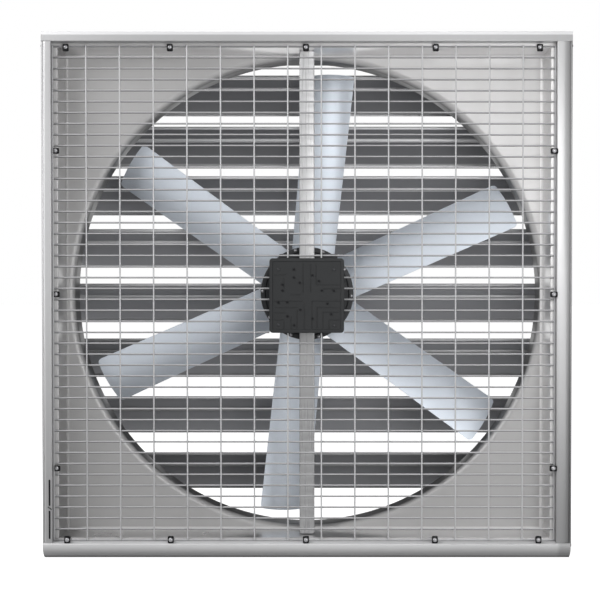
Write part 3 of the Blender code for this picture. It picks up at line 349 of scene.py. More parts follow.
def louvre_sheet():
    """Sheet darkened as painted shade, upper louvres most, with painted highlights on its rolled
    edges.
    """
    finish = zinc_sheet("louvre_zinc", (0.35, 0.353, 0.372), 0.42, 0.2)
    # Painted shade: the upper louvres are darker.
    scaled_colour(finish, along(finish, "Z", (0.7, 1.2), (1.0, 0.60)))
    nodes = finish.node_tree.nodes
    links = finish.node_tree.links
    colour = shader_of(finish).inputs["Base Color"]
    # Painted highlights on the rolled edges, brighter on the upper louvres.
    bright = nodes.new("ShaderNodeVectorMath")
    bright.operation = "SCALE"
    bright.inputs[0].default_value = EDGE_HIGHLIGHT_COLOUR
    links.new(along(finish, "Z", (0.3, 1.1), (0.5, 1.0)), bright.inputs["Scale"])
    edge = nodes.new("ShaderNodeAttribute")
    edge.attribute_name = BRIGHT_EDGE
    mix = nodes.new("ShaderNodeMix")
    mix.data_type = "VECTOR"
    links.new(edge.outputs["Fac"], mix.inputs["Factor"])
    links.new(colour.links[0].from_socket, mix.inputs[4])
    links.new(bright.outputs["Vector"], mix.inputs[5])
    links.new(mix.outputs[1], colour)
    return finish


louvre_zinc = louvre_sheet()
print("louvre finish:", louvre_zinc.name)

# %% [markdown]
# ## Wire, paint, plastic and bright metal
# The other finishes share one recipe: a noise that shifts colour and roughness and raises the
# surface a little. The wire is drawn and dipped, so its zinc is lumpy, and the cross wires
# are darker underneath as painted shade. The blades are pale blue-grey sheet.
# The controller box is moulded black plastic with a fine grain, and the motor wears black
# enamel. The screws are bright, and the parts inside the motor have the plain finishes of
# iron, copper and board.

# %% One recipe for grained finishes
BROADER = 40
ROUGHNESS_SWING = 0.06


def grained(name, colour, roughness, metallic, scale, swing, strength, distance,
            stretch=(1, 1, 1), specular=0.5):
    """A finish with one noise of a scale: it swings the shade, and gives relief of a strength."""
    finish = new_finish(name, colour, roughness, metallic, specular)
    noise = texture(finish, "ShaderNodeTexNoise", scale, stretch=stretch, detail=5.0)
    broad = texture(finish, "ShaderNodeTexNoise", scale / BROADER, detail=3.0)
    scaled_colour(finish, swung(finish, noise.outputs["Fac"], 1, swing))
    scaled_colour(finish, swung(finish, broad.outputs["Fac"], 1, swing))
    rough = swung(finish, noise.outputs["Fac"], roughness, ROUGHNESS_SWING)
    finish.node_tree.links.new(rough, shader_of(finish).inputs["Roughness"])
    bumped(finish, noise.outputs["Fac"], strength, distance)
    return finish


# %% Wire, post and blades
# Each has a colour, a roughness and a metallic share. Its noise has a scale and a swing of
# shade, and its relief a strength and a height.
# Painted shade: the cross wires are darker where they face down, all but the lowest one.
UNDERSIDE = (-0.55, 0.15)
UNDERSIDE_SHADE = 0.30
LOWEST_WIRE = (0.046, 0.050)

wire_zinc = grained("wire_zinc", (0.44, 0.44, 0.45), 0.38, 0.10, 260.0, 0.06, 0.15, 0.0004,
                    specular=0.3)
cross_zinc = grained("cross_zinc", (0.44, 0.44, 0.45), 0.42, 0.0, 260.0, 0.06, 0.15, 0.0004,
                     specular=0.15)
wire_underside_shade = ranged(cross_zinc, axis_value(cross_zinc, "Normal", "Z"), UNDERSIDE,
                (UNDERSIDE_SHADE, 1.0))
lowest = along(cross_zinc, "Z", LOWEST_WIRE, (1.0, 0.0))
scaled_colour(cross_zinc, combined(cross_zinc, "MAXIMUM", [wire_underside_shade, lowest]))
post_zinc = grained("post_zinc", (0.42, 0.42, 0.425), 0.28, 0.20, 160.0, 0.012, 0.05, 0.0002,
                    stretch=(1, 1, 0.05), specular=0.3)
# Painted light: the post is darker low down and lighter higher up.
scaled_colour(post_zinc, along(post_zinc, "Z", (0.35, 0.95), (0.84, 1.32)))
blade_metal = grained("blade_metal", (0.70, 0.75, 0.82), 0.40, 0.25, 120.0, 0.025, 0.06, 0.0003,
                      specular=0.3)
print("wire, post and blades:", wire_zinc.name, cross_zinc.name, post_zinc.name, blade_metal.name)

# %% Plastic, enamel, screws and the parts inside
black_plastic = grained("black_plastic", (0.022, 0.023, 0.024), 0.55, 0.0, 900.0, 0.10, 0.25,
                        0.0003, specular=0.15)
black_enamel = grained("black_enamel", (0.018, 0.019, 0.021), 0.45, 0.0, 500.0, 0.10, 0.20,
                       0.0004, specular=0.25)
clip_black = grained("clip_black", (0.008, 0.008, 0.009), 0.45, 0.0, 700.0, 0.10, 0.20, 0.0002,
                     specular=0.08)
bright_screw = grained("bright_screw", (0.27, 0.27, 0.28), 0.26, 0.6, 500.0, 0.04, 0.05, 0.0001,
                       specular=0.3)
turned_steel = grained("turned_steel", (0.55, 0.55, 0.56), 0.28, 0.9, 300.0, 0.05, 0.08, 0.0002)
core_iron = grained("core_iron", (0.22, 0.22, 0.23), 0.50, 0.9, 300.0, 0.10, 0.15, 0.0003)
winding_copper = grained("winding_copper", (0.52, 0.24, 0.12), 0.40, 0.9, 400.0, 0.12, 0.30,
                         0.0006)
board_green = grained("board_green", (0.04, 0.20, 0.08), 0.45, 0.0, 300.0, 0.10, 0.10, 0.0002)
dark_bolt = grained("dark_bolt", (0.06, 0.06, 0.06), 0.50, 0.3, 400.0, 0.12, 0.15, 0.0003,
                    specular=0.2)
cast_metal = grained("cast_metal", (0.24, 0.25, 0.26), 0.50, 0.5, 220.0, 0.10, 0.30, 0.0006)
print("finishes in all:", len(bpy.data.materials))

# %% [markdown]
# ## Side walls of the housing
# Each wall of the box is one folded sheet. Its front edge is rolled into a broad smooth rail
# with a lip turned back to hold the guard frame, and a small bead runs along its outer corner.
# A block with many bevels could be cut to this, but the section is the same all the way up.
# So it is drawn once, as a line of points, and swept upwards, as a folding machine would
# leave it. Solidify then gives the sheet its thickness inwards.

# %% From a mesh to a piece
SHEET = 0.0015
SEAM = 0.0003
WELD_DISTANCE = 0.00001
SMOOTH_ANGLE = math.radians(35)


def finished(bm, name, material, body, stands_for=(), wall=None):
    """Makes a piece of a bmesh: its finish, its body and, for sheet, its wall."""
    for face in bm.faces:
        face.smooth = True
    for edge in bm.edges:
        bent = len(edge.link_faces) == 2 and edge.calc_face_angle() > SMOOTH_ANGLE
        edge.smooth = not (bent or edge.is_boundary)
    mesh = bpy.data.meshes.new(name)
    bm.to_mesh(mesh)
    bm.free()
    mesh.materials.append(material)
    piece = bpy.data.objects.new(name, mesh)
    bpy.context.scene.collection.objects.link(piece)
    if wall is not None:
        sheet = piece.modifiers.new("Wall", "SOLIDIFY")
        sheet.thickness = wall
        sheet.offset = -1.0
    if stands_for:
        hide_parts(*stands_for)
    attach(piece, body)
    return piece


# %% Sheet swept from a line
def points_of(geometry):
    """The points among what an operator grew."""
    return [item for item in geometry if isinstance(item, bmesh.types.BMVert)]


def drawn_out(bm, edges, way):
    """Extrudes edges into sheet that reaches along a way."""
    grown = bmesh.ops.extrude_edge_only(bm, edges=edges)["geom"]
    bmesh.ops.translate(bm, vec=way, verts=points_of(grown))


def strip(points, way):
    """A sheet swept from a line of points."""
    bm = bmesh.new()
    verts = [bm.verts.new(point) for point in points]
    drawn_out(bm, [bm.edges.new(pair) for pair in zip(verts, verts[1:])], way)
    return bm


def arc(centre, radius, start, end, steps):
    """Points of an arc in a plane, angles in degrees."""
    points = []
    for i in range(steps + 1):
        angle = math.radians(start + (end - start) * i / steps)
        points.append((centre[0] + radius * math.cos(angle), centre[1] + radius * math.sin(angle)))
    return points


print("a quarter circle in two steps:", [(round(x, 2), round(y, 2))
                                         for x, y in arc((0, 0), 1, 0, 90, 2)])

# %% Side walls, with their broad rolled rails
LIP_DEPTH = 0.0297
SIDE_LIP_ROUND = 0.0022
LIP_OVERHANG = 0.0035
REAR_LIP = 0.009
OUTER_BEAD = 0.0020
BEAD_SETBACK = 0.0015
LEFT_ROLL = (0.008, 60.0)
RIGHT_ROLL = (0.030, 38.0)
TOP_DROP = 0.0045


def side_section(inner, outer, roll):
    """The section of a side wall from lip to rear lip, as distance in from outside and depth."""
    width = abs(outer - inner)
    front = width + LIP_OVERHANG
    radius, turn = roll
    start = 2 * OUTER_BEAD + radius * math.sin(math.radians(turn))
    points = [(width, LIP_DEPTH)]
    points += arc((front - SIDE_LIP_ROUND, SIDE_LIP_ROUND), SIDE_LIP_ROUND, 0, -90, 8)
    points += arc((start, radius), radius, -90, -90 - turn, 14)
    points += arc((OUTER_BEAD, OUTER_BEAD + BEAD_SETBACK), OUTER_BEAD, -30, -180, 12)
    points += [(0.0, REAR - FRONT), (REAR_LIP, REAR - FRONT)]
    return points


def side_wall(name, node, roll, outer_way):
    """One side wall, swept from the bottom pan to the top pan."""
    low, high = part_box(node)
    high.z = HOUSING_LOW.z - TOP_DROP - SEAM
    outer = (high.x if outer_way > 0 else low.x) + outer_way * SPREAD[outer_way]
    inner = low.x if outer_way > 0 else high.x
    points = [(outer - outer_way * inset, FRONT + depth, low.z)
              for inset, depth in side_section(inner, outer, roll)]
    if outer_way > 0:
        points.reverse()
    bm = strip(points, (0, 0, high.z - low.z))
    return finished(bm, name, rail_zinc, "frame", (node,), SHEET)


left_wall = side_wall("left_wall", "housing_left_panel", LEFT_ROLL, -1)
right_wall = side_wall("right_wall", "housing_right_panel", RIGHT_ROLL, 1)
print("side walls:", len(left_wall.data.polygons), "and", len(right_wall.data.polygons), "faces")

# %% [markdown]
# ## Top and bottom walls
# The upper and lower walls close the box at its corners, so their rails have rounded ends and
# the sheet turns back at the sides. A swept strip has no ends, so each of these starts as a
# block. Its long front edges are bevelled into the roll and the lip, and then its ends. The
# lower rail also bulges towards the room, so its front is first cut into narrow bands that are
# moved onto a curve. Last, the faces that real sheet doesn't have are deleted: the inner side
# behind the lip, and the rear but for a narrow strip.

# %% Blocks and bevels
def bar(bm, size, middle):
    """Adds a box of a size about a middle, and gives its points."""
    made = bmesh.ops.create_cube(bm, size=1.0)["verts"]
    bmesh.ops.scale(bm, vec=size, verts=made)
    bmesh.ops.translate(bm, vec=middle, verts=made)
    return made


def block(low, high):
    """A bmesh box between two corners."""
    low = Vector(low)
    high = Vector(high)
    bm = bmesh.new()
    bar(bm, high - low, (low + high) / 2)
    return bm


def rounded(bm, edges, radius, segments, clamp=False):
    """Bevels edges to a round of that radius."""
    bmesh.ops.bevel(bm, geom=edges, offset=radius, segments=segments, profile=0.5,
                    affect="EDGES", material=-1, clamp_overlap=clamp)


def whole(bm):
    """Everything in a bmesh, for the operator that cuts."""
    return bm.verts[:] + bm.edges[:] + bm.faces[:]


def places(first, last, count):
    """Even places from first to last."""
    return [first + (last - first) * i / (count - 1) for i in range(count)]


print("five even places from 0 to 1:", places(0, 1, 5))

# %% Opening a block into a sheet
def opened(bm, inner, rear, rear_edge, outer_way):
    """Leaves of the inner side only the lip, and of the rear side only its outer strip."""
    lip_end = FRONT + LIP_DEPTH
    bmesh.ops.bisect_plane(bm, geom=whole(bm), plane_co=(0, lip_end, 0), plane_no=(0, 1, 0))
    behind = [f for f in bm.faces if abs(f.calc_center_median().y - rear) < WELD_DISTANCE]
    geometry = set(behind)
    for face in behind:
        geometry.update(face.edges)
        geometry.update(face.verts)
    bmesh.ops.bisect_plane(bm, geom=list(geometry), plane_co=(0, 0, rear_edge),
                           plane_no=(0, 0, 1))
    gone = []
    for face in bm.faces:
        middle = face.calc_center_median()
        inside = abs(middle.z - inner) < WELD_DISTANCE and middle.y > lip_end
        hole = abs(middle.y - rear) < WELD_DISTANCE and (rear_edge - middle.z) * outer_way > 0
        if inside or hole:
            gone.append(face)
    bmesh.ops.delete(bm, geom=gone, context="FACES")


# %% Shapes of the upper and lower rails
TOP_SHAPE = {"roll": 0.008, "flatten": 0.5, "lip": 0.002, "end": 0.006,
             "bulge": 0.0, "crest": 0.0, "forward": 0.0}
BOTTOM_SHAPE = {"roll": 0.003, "flatten": 1.0, "lip": 0.002, "end": 0.008,
                "bulge": 21.0, "crest": 0.026, "forward": 0.008}
BOTTOM_GROWTH = (0.0050, 0.0012)
print("the lower rail's crest stands", BOTTOM_SHAPE["forward"], "m forward")

# %% Top and bottom walls, with closed ends
BULGE_CUTS = 14
RAIL_REACH = 0.018
SHARP_TURN = 0.3


def pan_wall(name, node, shape, drop, rise, outer_way):
    """A top or bottom wall: rail, closed ends, and open behind the lip."""
    low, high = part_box(node)
    low.z -= drop
    high.z += rise
    if outer_way > 0:
        low.x -= SPREAD[-1]
        high.x += SPREAD[1]
    outer = high.z if outer_way > 0 else low.z
    inner = low.z if outer_way > 0 else high.z
    bm = block(low, high)
    for height in places(low.z, high.z, BULGE_CUTS)[1:-1]:
        bmesh.ops.bisect_plane(bm, geom=whole(bm), plane_co=(0, 0, height), plane_no=(0, 0, 1))
    for vert in bm.verts:
        if vert.co.y < low.y + WELD_DISTANCE:
            vert.co.y += shape["bulge"] * (vert.co.z - shape["crest"]) ** 2 - shape["forward"]

    def at(edge, axis, value):
        return all(abs(vert.co[axis] - value) < WELD_DISTANCE for vert in edge.verts)

    def at_end(edge):
        return at(edge, 0, low.x) or at(edge, 0, high.x)

    def on_rail(edge):
        return all(vert.co.y < low.y + RAIL_REACH for vert in edge.verts) and not at_end(edge)

    rounded(bm, [e for e in bm.edges if on_rail(e) and at(e, 2, outer)], shape["roll"], 8)
    rounded(bm, [e for e in bm.edges if on_rail(e) and at(e, 2, inner)], shape["lip"], 4)
    ends = [e for e in bm.edges if at_end(e) and not at(e, 1, high.y) and not at(e, 2, inner)
            and e.calc_face_angle() > SHARP_TURN]
    rounded(bm, ends, shape["end"], 5, clamp=True)
    for vert in bm.verts:
        if vert.co.y < low.y + RAIL_REACH:
            vert.co.y = low.y + (vert.co.y - low.y) * shape["flatten"]
    opened(bm, inner, high.y, outer - outer_way * REAR_LIP, outer_way)
    finish = upper_zinc if outer_way > 0 else lower_zinc
    return finished(bm, name, finish, "frame", (node,), SHEET)


top_wall = pan_wall("top_wall", "housing_top_panel", TOP_SHAPE, TOP_DROP, -TOP_DROP, 1)
bottom_wall = pan_wall("bottom_wall", "housing_bottom_panel", BOTTOM_SHAPE, *BOTTOM_GROWTH, -1)
print("pan walls:", len(top_wall.data.polygons), "and", len(bottom_wall.data.polygons), "faces")

# %% [markdown]
# ## Guard frame
# Behind the rails a flange runs round the opening and carries the guard. It turns back into a
# wall that meets the bell panel in a soft fold. The wall shines as metal, and painted light
# brightens its colour. Four strips could be mitred together, but one square loop of four edges
# is simpler: it is extruded again and again, moved in and back a little each time, which draws
# the folds as it goes and closes the corners by itself.

# %% Flange, wall and fold
FLANGE_DEPTH = 0.030
FLANGE_ROUND = 0.003
WALL_END_DEPTH = 0.1296
FOLD_ROUND = 0.009
WINDOW_LEFT = -0.6545
WINDOW_RIGHT = 0.6415
WINDOW_BOTTOM = 0.043
WINDOW_TOP = 1.334


def frame_profile():
    """Steps of (distance in from the window's edge, depth) from the flange to the fold."""
    steps = arc((-FLANGE_ROUND, FLANGE_DEPTH + FLANGE_ROUND), FLANGE_ROUND, -90, 0, 5)
    steps += arc((FOLD_ROUND, WALL_END_DEPTH - FOLD_ROUND), FOLD_ROUND, 180, 90, 8)
    return steps


def square_sheet(first, steps):
    """Extrudes a square loop through steps inwards from the window and back."""
    bm = bmesh.new()
    corners = [(-1, WINDOW_LEFT, -1, WINDOW_BOTTOM), (1, WINDOW_RIGHT, -1, WINDOW_BOTTOM),
               (1, WINDOW_RIGHT, 1, WINDOW_TOP), (-1, WINDOW_LEFT, 1, WINDOW_TOP)]

    def set_loop(verts, inset, depth):
        for vert, (way_x, x, way_z, z) in zip(verts, corners):
            vert.co = (x - way_x * inset, FRONT + depth, z - way_z * inset)

    verts = [bm.verts.new((0, 0, 0)) for _ in corners]
    set_loop(verts, *first)
    edges = [bm.edges.new((verts[i], verts[(i + 1) % 4])) for i in range(4)]
    for inset, depth in steps:
        grown = bmesh.ops.extrude_edge_only(bm, edges=edges)["geom"]
        pairs = {}
        for item in points_of(grown):
            near = min(verts, key=lambda vert: (vert.co - item.co).length)
            pairs[near] = item
        verts = [pairs[vert] for vert in verts]
        set_loop(verts, inset, depth)
        edges = [bm.edges.get((verts[i], verts[(i + 1) % 4])) for i in range(4)]
    bmesh.ops.recalc_face_normals(bm, faces=bm.faces)
    return bm


flange_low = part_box("guard_frame")[0]
tuck = WINDOW_LEFT - flange_low.x
guard_frame = finished(square_sheet((-tuck, FLANGE_DEPTH), frame_profile()), "mouth_frame",
                       mouth_zinc, "frame", ("guard_frame",))
print("guard frame:", len(guard_frame.data.polygons), "faces, tucked in by", round(tuck, 4))

# %% [markdown]
# ## Bell panel
# The real panel is drawn from flat sheet: a round mouth is pressed into it and runs back as a
# short throat. Here a circle and a square of equal point count are bridged for the flat part,
# which keeps its faces even. The circle's edges are then extruded round the bell and along
# the throat, and end in a small rolled bead that catches the light at the far rim.

# %% Steps round the bell, down the throat and round the bead
THROAT_RADIUS = 0.632
BELL_ROUND = 0.020
BELL_STEPS = 10
PANEL_DEPTH = 0.130
THROAT_END = 0.213
THROAT_FLARE = 0.002
BEAD_RADIUS = 0.0035
BEAD_STEPS = 8


def bell_steps():
    """Radius and depth round the bell, down the throat and round the bead."""
    steps = []
    for i in range(1, BELL_STEPS + 1):
        angle = math.pi / 2 * i / BELL_STEPS
        steps.append((THROAT_RADIUS + BELL_ROUND * (1 - math.sin(angle)),
                      PANEL_DEPTH + BELL_ROUND * (1 - math.cos(angle))))
    steps.append((THROAT_RADIUS + THROAT_FLARE, THROAT_END - 3 * BEAD_RADIUS))
    for i in range(BEAD_STEPS + 1):
        angle = math.pi * i / BEAD_STEPS
        steps.append((THROAT_RADIUS + THROAT_FLARE + BEAD_RADIUS * (1 - math.cos(angle)),
                      THROAT_END - BEAD_RADIUS + BEAD_RADIUS * math.sin(angle)))
    return steps


print("bell: opening", 2 * THROAT_RADIUS, "m wide, in", len(bell_steps()), "steps")

# %% Flat sheet with its mouth
THROAT_POINTS = 160
PANEL_HEM = 0.020
FACING_ROOM = Matrix.Rotation(math.pi / 2, 4, "X")


def grown_ring(bm, edges, radius, depth):
    """Extrudes a ring of edges to a new radius and depth."""
    grown = bmesh.ops.extrude_edge_only(bm, edges=edges)["geom"]
    for point in points_of(grown):
        across = Vector((point.co.x, 0, point.co.z)).normalized() * radius
        point.co = (across.x, depth, across.z)
    return [item for item in grown if isinstance(item, bmesh.types.BMEdge)]


def bell_panel():
    """The whole panel as one open sheet."""
    half_width = HALF_WIDTH - SHEET - SEAM
    half_height = TOP / 2 - SHEET - SEAM
    top = half_height - TOP_DROP
    corners = [(-half_width, -half_height), (half_width, -half_height), (half_width, top),
               (-half_width, top)]
    bm = bmesh.new()
    square = [bm.verts.new((x, PANEL_DEPTH, z)) for x, z in corners]
    rim = [bm.edges.new((square[i], square[(i + 1) % 4])) for i in range(4)]
    bmesh.ops.subdivide_edges(bm, edges=rim, cuts=THROAT_POINTS // 4 - 1)
    rim = bm.edges[:]
    mouth = bmesh.ops.create_circle(bm, cap_ends=False, segments=THROAT_POINTS,
                                    radius=THROAT_RADIUS + BELL_ROUND)["verts"]
    turn = Matrix.Translation((0, PANEL_DEPTH, 0)) @ FACING_ROOM
    bmesh.ops.transform(bm, matrix=turn, verts=mouth)
    lip = [e for e in bm.edges if e not in set(rim)]
    bmesh.ops.bridge_loops(bm, edges=rim + lip)
    for radius, depth in bell_steps():
        lip = grown_ring(bm, lip, radius, depth)
    drawn_out(bm, [e for e in rim if e.is_valid], (0, PANEL_HEM, 0))
    bmesh.ops.translate(bm, vec=CENTRE, verts=bm.verts)
    bmesh.ops.recalc_face_normals(bm, faces=bm.faces)
    return bm


bell = finished(bell_panel(), "bell_panel", bell_zinc, "frame",
                ("venturi_panel",))
print("bell panel:", len(bell.data.polygons), "faces")

# %% [markdown]
# ## Wire guard
# The guard is welded mesh: 46 cross wires with 16 uprights in front of them, welded where they
# cross. It could be a flat sheet with a wire pattern, but then it would have no thickness from
# the side. A wire is a straight run of drawn steel, so each is a slim cylinder with rounded
# ends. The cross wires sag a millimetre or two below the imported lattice. A wire that meets the
# controller box stops there and goes on at its other side. The wires of one direction share
# one piece, and a third piece holds the weld at each crossing, as a small flattened ball.

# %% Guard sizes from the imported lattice
GUARD_LOW, GUARD_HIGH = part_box("wire_guard")
BOX_LOW, BOX_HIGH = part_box("controller_cover")
CROSS_RADIUS = 0.0023
UPRIGHT_RADIUS = 0.0020
CROSS_COUNT = 46
UPRIGHT_COUNT = 14
EDGE_COLUMN = 0.0860
CROSS_SAG = (0.0024, 0.0008)
UPRIGHT_SHIFT = 0.0015
LATTICE_WIRE = 0.004
WELD_SINK = 0.0006
CROSS_Y = GUARD_HIGH.y - CROSS_RADIUS
UPRIGHT_Y = CROSS_Y - CROSS_RADIUS - UPRIGHT_RADIUS + WELD_SINK


def cross_heights():
    """Z of every cross wire."""
    lowest = GUARD_LOW.z + LATTICE_WIRE / 2 - CROSS_SAG[0]
    return places(lowest, GUARD_HIGH.z - LATTICE_WIRE / 2 - CROSS_SAG[1], CROSS_COUNT)


def upright_columns():
    """X of the edge wires and of the inner uprights."""
    first = GUARD_LOW.x + LATTICE_WIRE / 2
    last = GUARD_HIGH.x - LATTICE_WIRE / 2
    inner = places(first + EDGE_COLUMN, last - EDGE_COLUMN, UPRIGHT_COUNT)
    return [first] + [x + UPRIGHT_SHIFT for x in inner] + [last]


heights = cross_heights()
columns = upright_columns()
print("guard: cross wires every", round(heights[1] - heights[0], 4), "m, uprights every",
      round(columns[2] - columns[1], 4), "m")

# %% Straight wires
WIRE_SIDES = 8
BOX_GAP = 0.0015
CAP_INSET = 0.4
CAP_RISE = 0.3


def rod(bm, radius, length, sides, place, tip=None):
    """A round bar along Z that a matrix then moves to its place."""
    made = bmesh.ops.create_cone(bm, cap_ends=True, segments=sides, radius1=radius,
                                 radius2=radius if tip is None else tip, depth=length)["verts"]
    bmesh.ops.transform(bm, matrix=place, verts=made)
    return made


def add_wire(bm, start, end, radius):
    """A straight wire with slightly rounded ends."""
    start = Vector(start)
    end = Vector(end)
    turn = Vector((0, 0, 1)).rotation_difference(end - start).to_matrix().to_4x4()
    made = rod(bm, radius, (end - start).length, WIRE_SIDES,
               Matrix.Translation((start + end) / 2) @ turn)
    caps = {f for vert in made for f in vert.link_faces if len(f.verts) == WIRE_SIDES}
    bmesh.ops.inset_individual(bm, faces=list(caps), thickness=radius * CAP_INSET,
                               depth=radius * CAP_RISE)


def spans(low, high, cut_low, cut_high, blocked):
    """The run of a wire, in two parts where the box is in its way."""
    if blocked:
        return [(low, cut_low - BOX_GAP), (cut_high + BOX_GAP, high)]
    return [(low, high)]


# %% Cross wires and uprights that stop at the box
cross = bmesh.new()
for z in heights:
    blocked = BOX_LOW.z - CROSS_RADIUS < z < BOX_HIGH.z + CROSS_RADIUS
    for start, end in spans(GUARD_LOW.x, GUARD_HIGH.x, BOX_LOW.x, BOX_HIGH.x, blocked):
        add_wire(cross, (start, CROSS_Y, z), (end, CROSS_Y, z), CROSS_RADIUS)
cross_wires = finished(cross, "guard_cross_wires", cross_zinc, "frame",
                       ("wire_guard",))
uprights = bmesh.new()
for x in columns:
    blocked = BOX_LOW.x - UPRIGHT_RADIUS < x < BOX_HIGH.x + UPRIGHT_RADIUS
    for start, end in spans(GUARD_LOW.z, GUARD_HIGH.z, BOX_LOW.z, BOX_HIGH.z, blocked):
        add_wire(uprights, (x, UPRIGHT_Y, start), (x, UPRIGHT_Y, end), UPRIGHT_RADIUS)
upright_wires = finished(uprights, "guard_uprights", wire_zinc, "frame")
print("guard:", len(cross_wires.data.polygons), "and", len(upright_wires.data.polygons), "faces")

# %% Welds at the crossings
WELD_RADIUS = 0.0026
WELD_FLATTEN = 0.45
BALL_FACES = 20
welds = bmesh.new()
for x in columns:
    for z in heights:
        if BOX_LOW.x - WELD_RADIUS < x < BOX_HIGH.x + WELD_RADIUS \
                and BOX_LOW.z - WELD_RADIUS < z < BOX_HIGH.z + WELD_RADIUS:
            continue
        place = Matrix.Translation((x, (CROSS_Y + UPRIGHT_Y) / 2, z))
        flat = Matrix.Diagonal((1.0, WELD_FLATTEN, 1.0, 1.0))
        bmesh.ops.create_icosphere(welds, subdivisions=1, radius=WELD_RADIUS, matrix=place @ flat)
weld_spots = finished(welds, "guard_welds", wire_zinc, "frame")
print("welds:", len(weld_spots.data.polygons) // BALL_FACES)

# %% [markdown]
# ## Guard clips
# Sixteen small black plates hold the guard to its flange, each under a bright domed screw. The
# upper and left rows lie on the flange. The lower and right rows are hooked over the edge of
# the rail and stand on a short spacer, so they show in front of it. A plate is a block with
# rounded corners and a softened front edge. The screw is the cap of a sphere with a collar and
# a socket, and the same helper makes every other screw of the fan at its own size. A plate is
# made at each packed clip and moved a few millimetres to where it shows. The spacer is part
# of the plate's mesh, because the two are moulded in one.

# %% Clip plates and domed screws
CLIP_ROUND = 0.0032
CLIP_SOFTEN = 0.0006
COLLAR_SHARE = 0.25
SOCKET_TAPER = 0.9
SOCKET_SHARE = 0.1
SOCKET_SEAT = 0.985


def deep_edges(bm):
    """The edges that run in depth, which are the corners seen from the room."""
    return [e for e in bm.edges if abs((e.verts[0].co - e.verts[1].co).y) > WELD_DISTANCE]


def clip_plate(low, high):
    """A plate between two corners, with round corners and a soft front edge."""
    bm = block(low, high)
    rounded(bm, deep_edges(bm), CLIP_ROUND, 4)
    front = [e for e in bm.edges if all(abs(v.co.y - low[1]) < WELD_DISTANCE for v in e.verts)]
    rounded(bm, front, CLIP_SOFTEN, 2)
    return bm


def domed_screw(centre, size, facing):
    """A domed head with a hexagon socket, turned to where it faces."""
    radius, height, socket = size
    bm = bmesh.new()
    bmesh.ops.create_uvsphere(bm, u_segments=20, v_segments=12, radius=radius)
    bmesh.ops.bisect_plane(bm, geom=whole(bm), plane_co=(0, 0, 0), plane_no=(0, 0, 1),
                           clear_inner=True)
    drawn_out(bm, [e for e in bm.edges if e.is_boundary], (0, 0, -height * COLLAR_SHARE))
    bmesh.ops.contextual_create(bm, geom=[e for e in bm.edges if e.is_boundary])
    bmesh.ops.recalc_face_normals(bm, faces=bm.faces)
    rod(bm, socket, height * SOCKET_SHARE, 6, Matrix.Translation((0, 0, radius * SOCKET_SEAT)),
        tip=socket * SOCKET_TAPER)
    flat = Matrix.Diagonal((1.0, 1.0, height / radius, 1.0))
    bmesh.ops.transform(bm, matrix=Matrix.Translation(centre) @ facing @ flat, verts=bm.verts)
    return bm


# %% Sixteen clips in four rows
CLIP_SCREW = (0.0060, 0.0042, 0.0017)
CLIP_THICKNESS = 0.003
CLIP_SETBACK = 0.0027
CLIP_ROWS = {
    "top": ((0.0, -0.0028), (0.0080, 0.0115, 0.0080)),
    "bottom": ((0.0, 0.0), (0.0080, 0.0091, 0.0099)),
    "left": ((0.0008, 0.0), (0.0098, 0.0080, 0.0070)),
    "right": ((0.0, 0.0), (0.0098, 0.0080, 0.0070)),
}
HOOKED_FRONT = {"bottom": -0.0030, "right": -0.0035}
HOOKED_PLACE = {"bottom": 0.0443, "right": 0.6448}
DRAWN_IN = 0.992
SPACER_RADIUS = 0.003
SPACER_END = 0.0295


def hooked_middle(row, middle):
    """The middle of a clip that stands in front of the rail, a little drawn in along its row."""
    depth = FRONT + HOOKED_FRONT[row]
    if row == "bottom":
        return Vector((middle.x * DRAWN_IN, depth, HOOKED_PLACE[row]))
    return Vector((HOOKED_PLACE[row], depth, CENTRE.z + (middle.z - CENTRE.z) * DRAWN_IN))


clip_order = ["top"] * 5 + ["bottom"] * 5 + ["left"] * 3 + ["right"] * 3
for number, row in enumerate(clip_order, start=1):
    node = f"guard_clip_{number:02d}"
    low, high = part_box(node)
    (shift_x, shift_z), (half, below, above) = CLIP_ROWS[row]
    middle = Vector(((low.x + high.x) / 2 + shift_x, low.y + CLIP_SETBACK,
                     (low.z + high.z) / 2 + shift_z))
    if row in HOOKED_FRONT:
        middle = hooked_middle(row, middle)
    plate = clip_plate((middle.x - half, middle.y, middle.z - below),
                       (middle.x + half, middle.y + CLIP_THICKNESS, middle.z + above))
    if row in HOOKED_FRONT:
        length = SPACER_END - HOOKED_FRONT[row] - CLIP_THICKNESS + CLIP_SOFTEN
        place = Matrix.Translation((middle.x, FRONT + SPACER_END - length / 2, middle.z))
        rod(plate, SPACER_RADIUS, length, 12, place @ FACING_ROOM)
    finished(plate, f"clip_plate_{number:02d}", clip_black, "frame", (node,))
    finished(domed_screw(middle, CLIP_SCREW, FACING_ROOM), f"clip_screw_{number:02d}",
             bright_screw, "frame")
print("clips:", len(clip_order), "plates and", len(clip_order), "screws")

# %% [markdown]
# ## Motor post
# The motor hangs on a square tube that stands from the lower to the upper wall. A block is
# bevelled along its four long edges, and its ends are inset and pushed in, which gives the
# tube its wall thickness where it can be seen. An angle of sheet behind each end joins the
# tube to the wall. It is no wider than the tube, so nothing shows beside it. Its block is cut
# near the wall, and the part next to the wall is extruded forward as the toe.

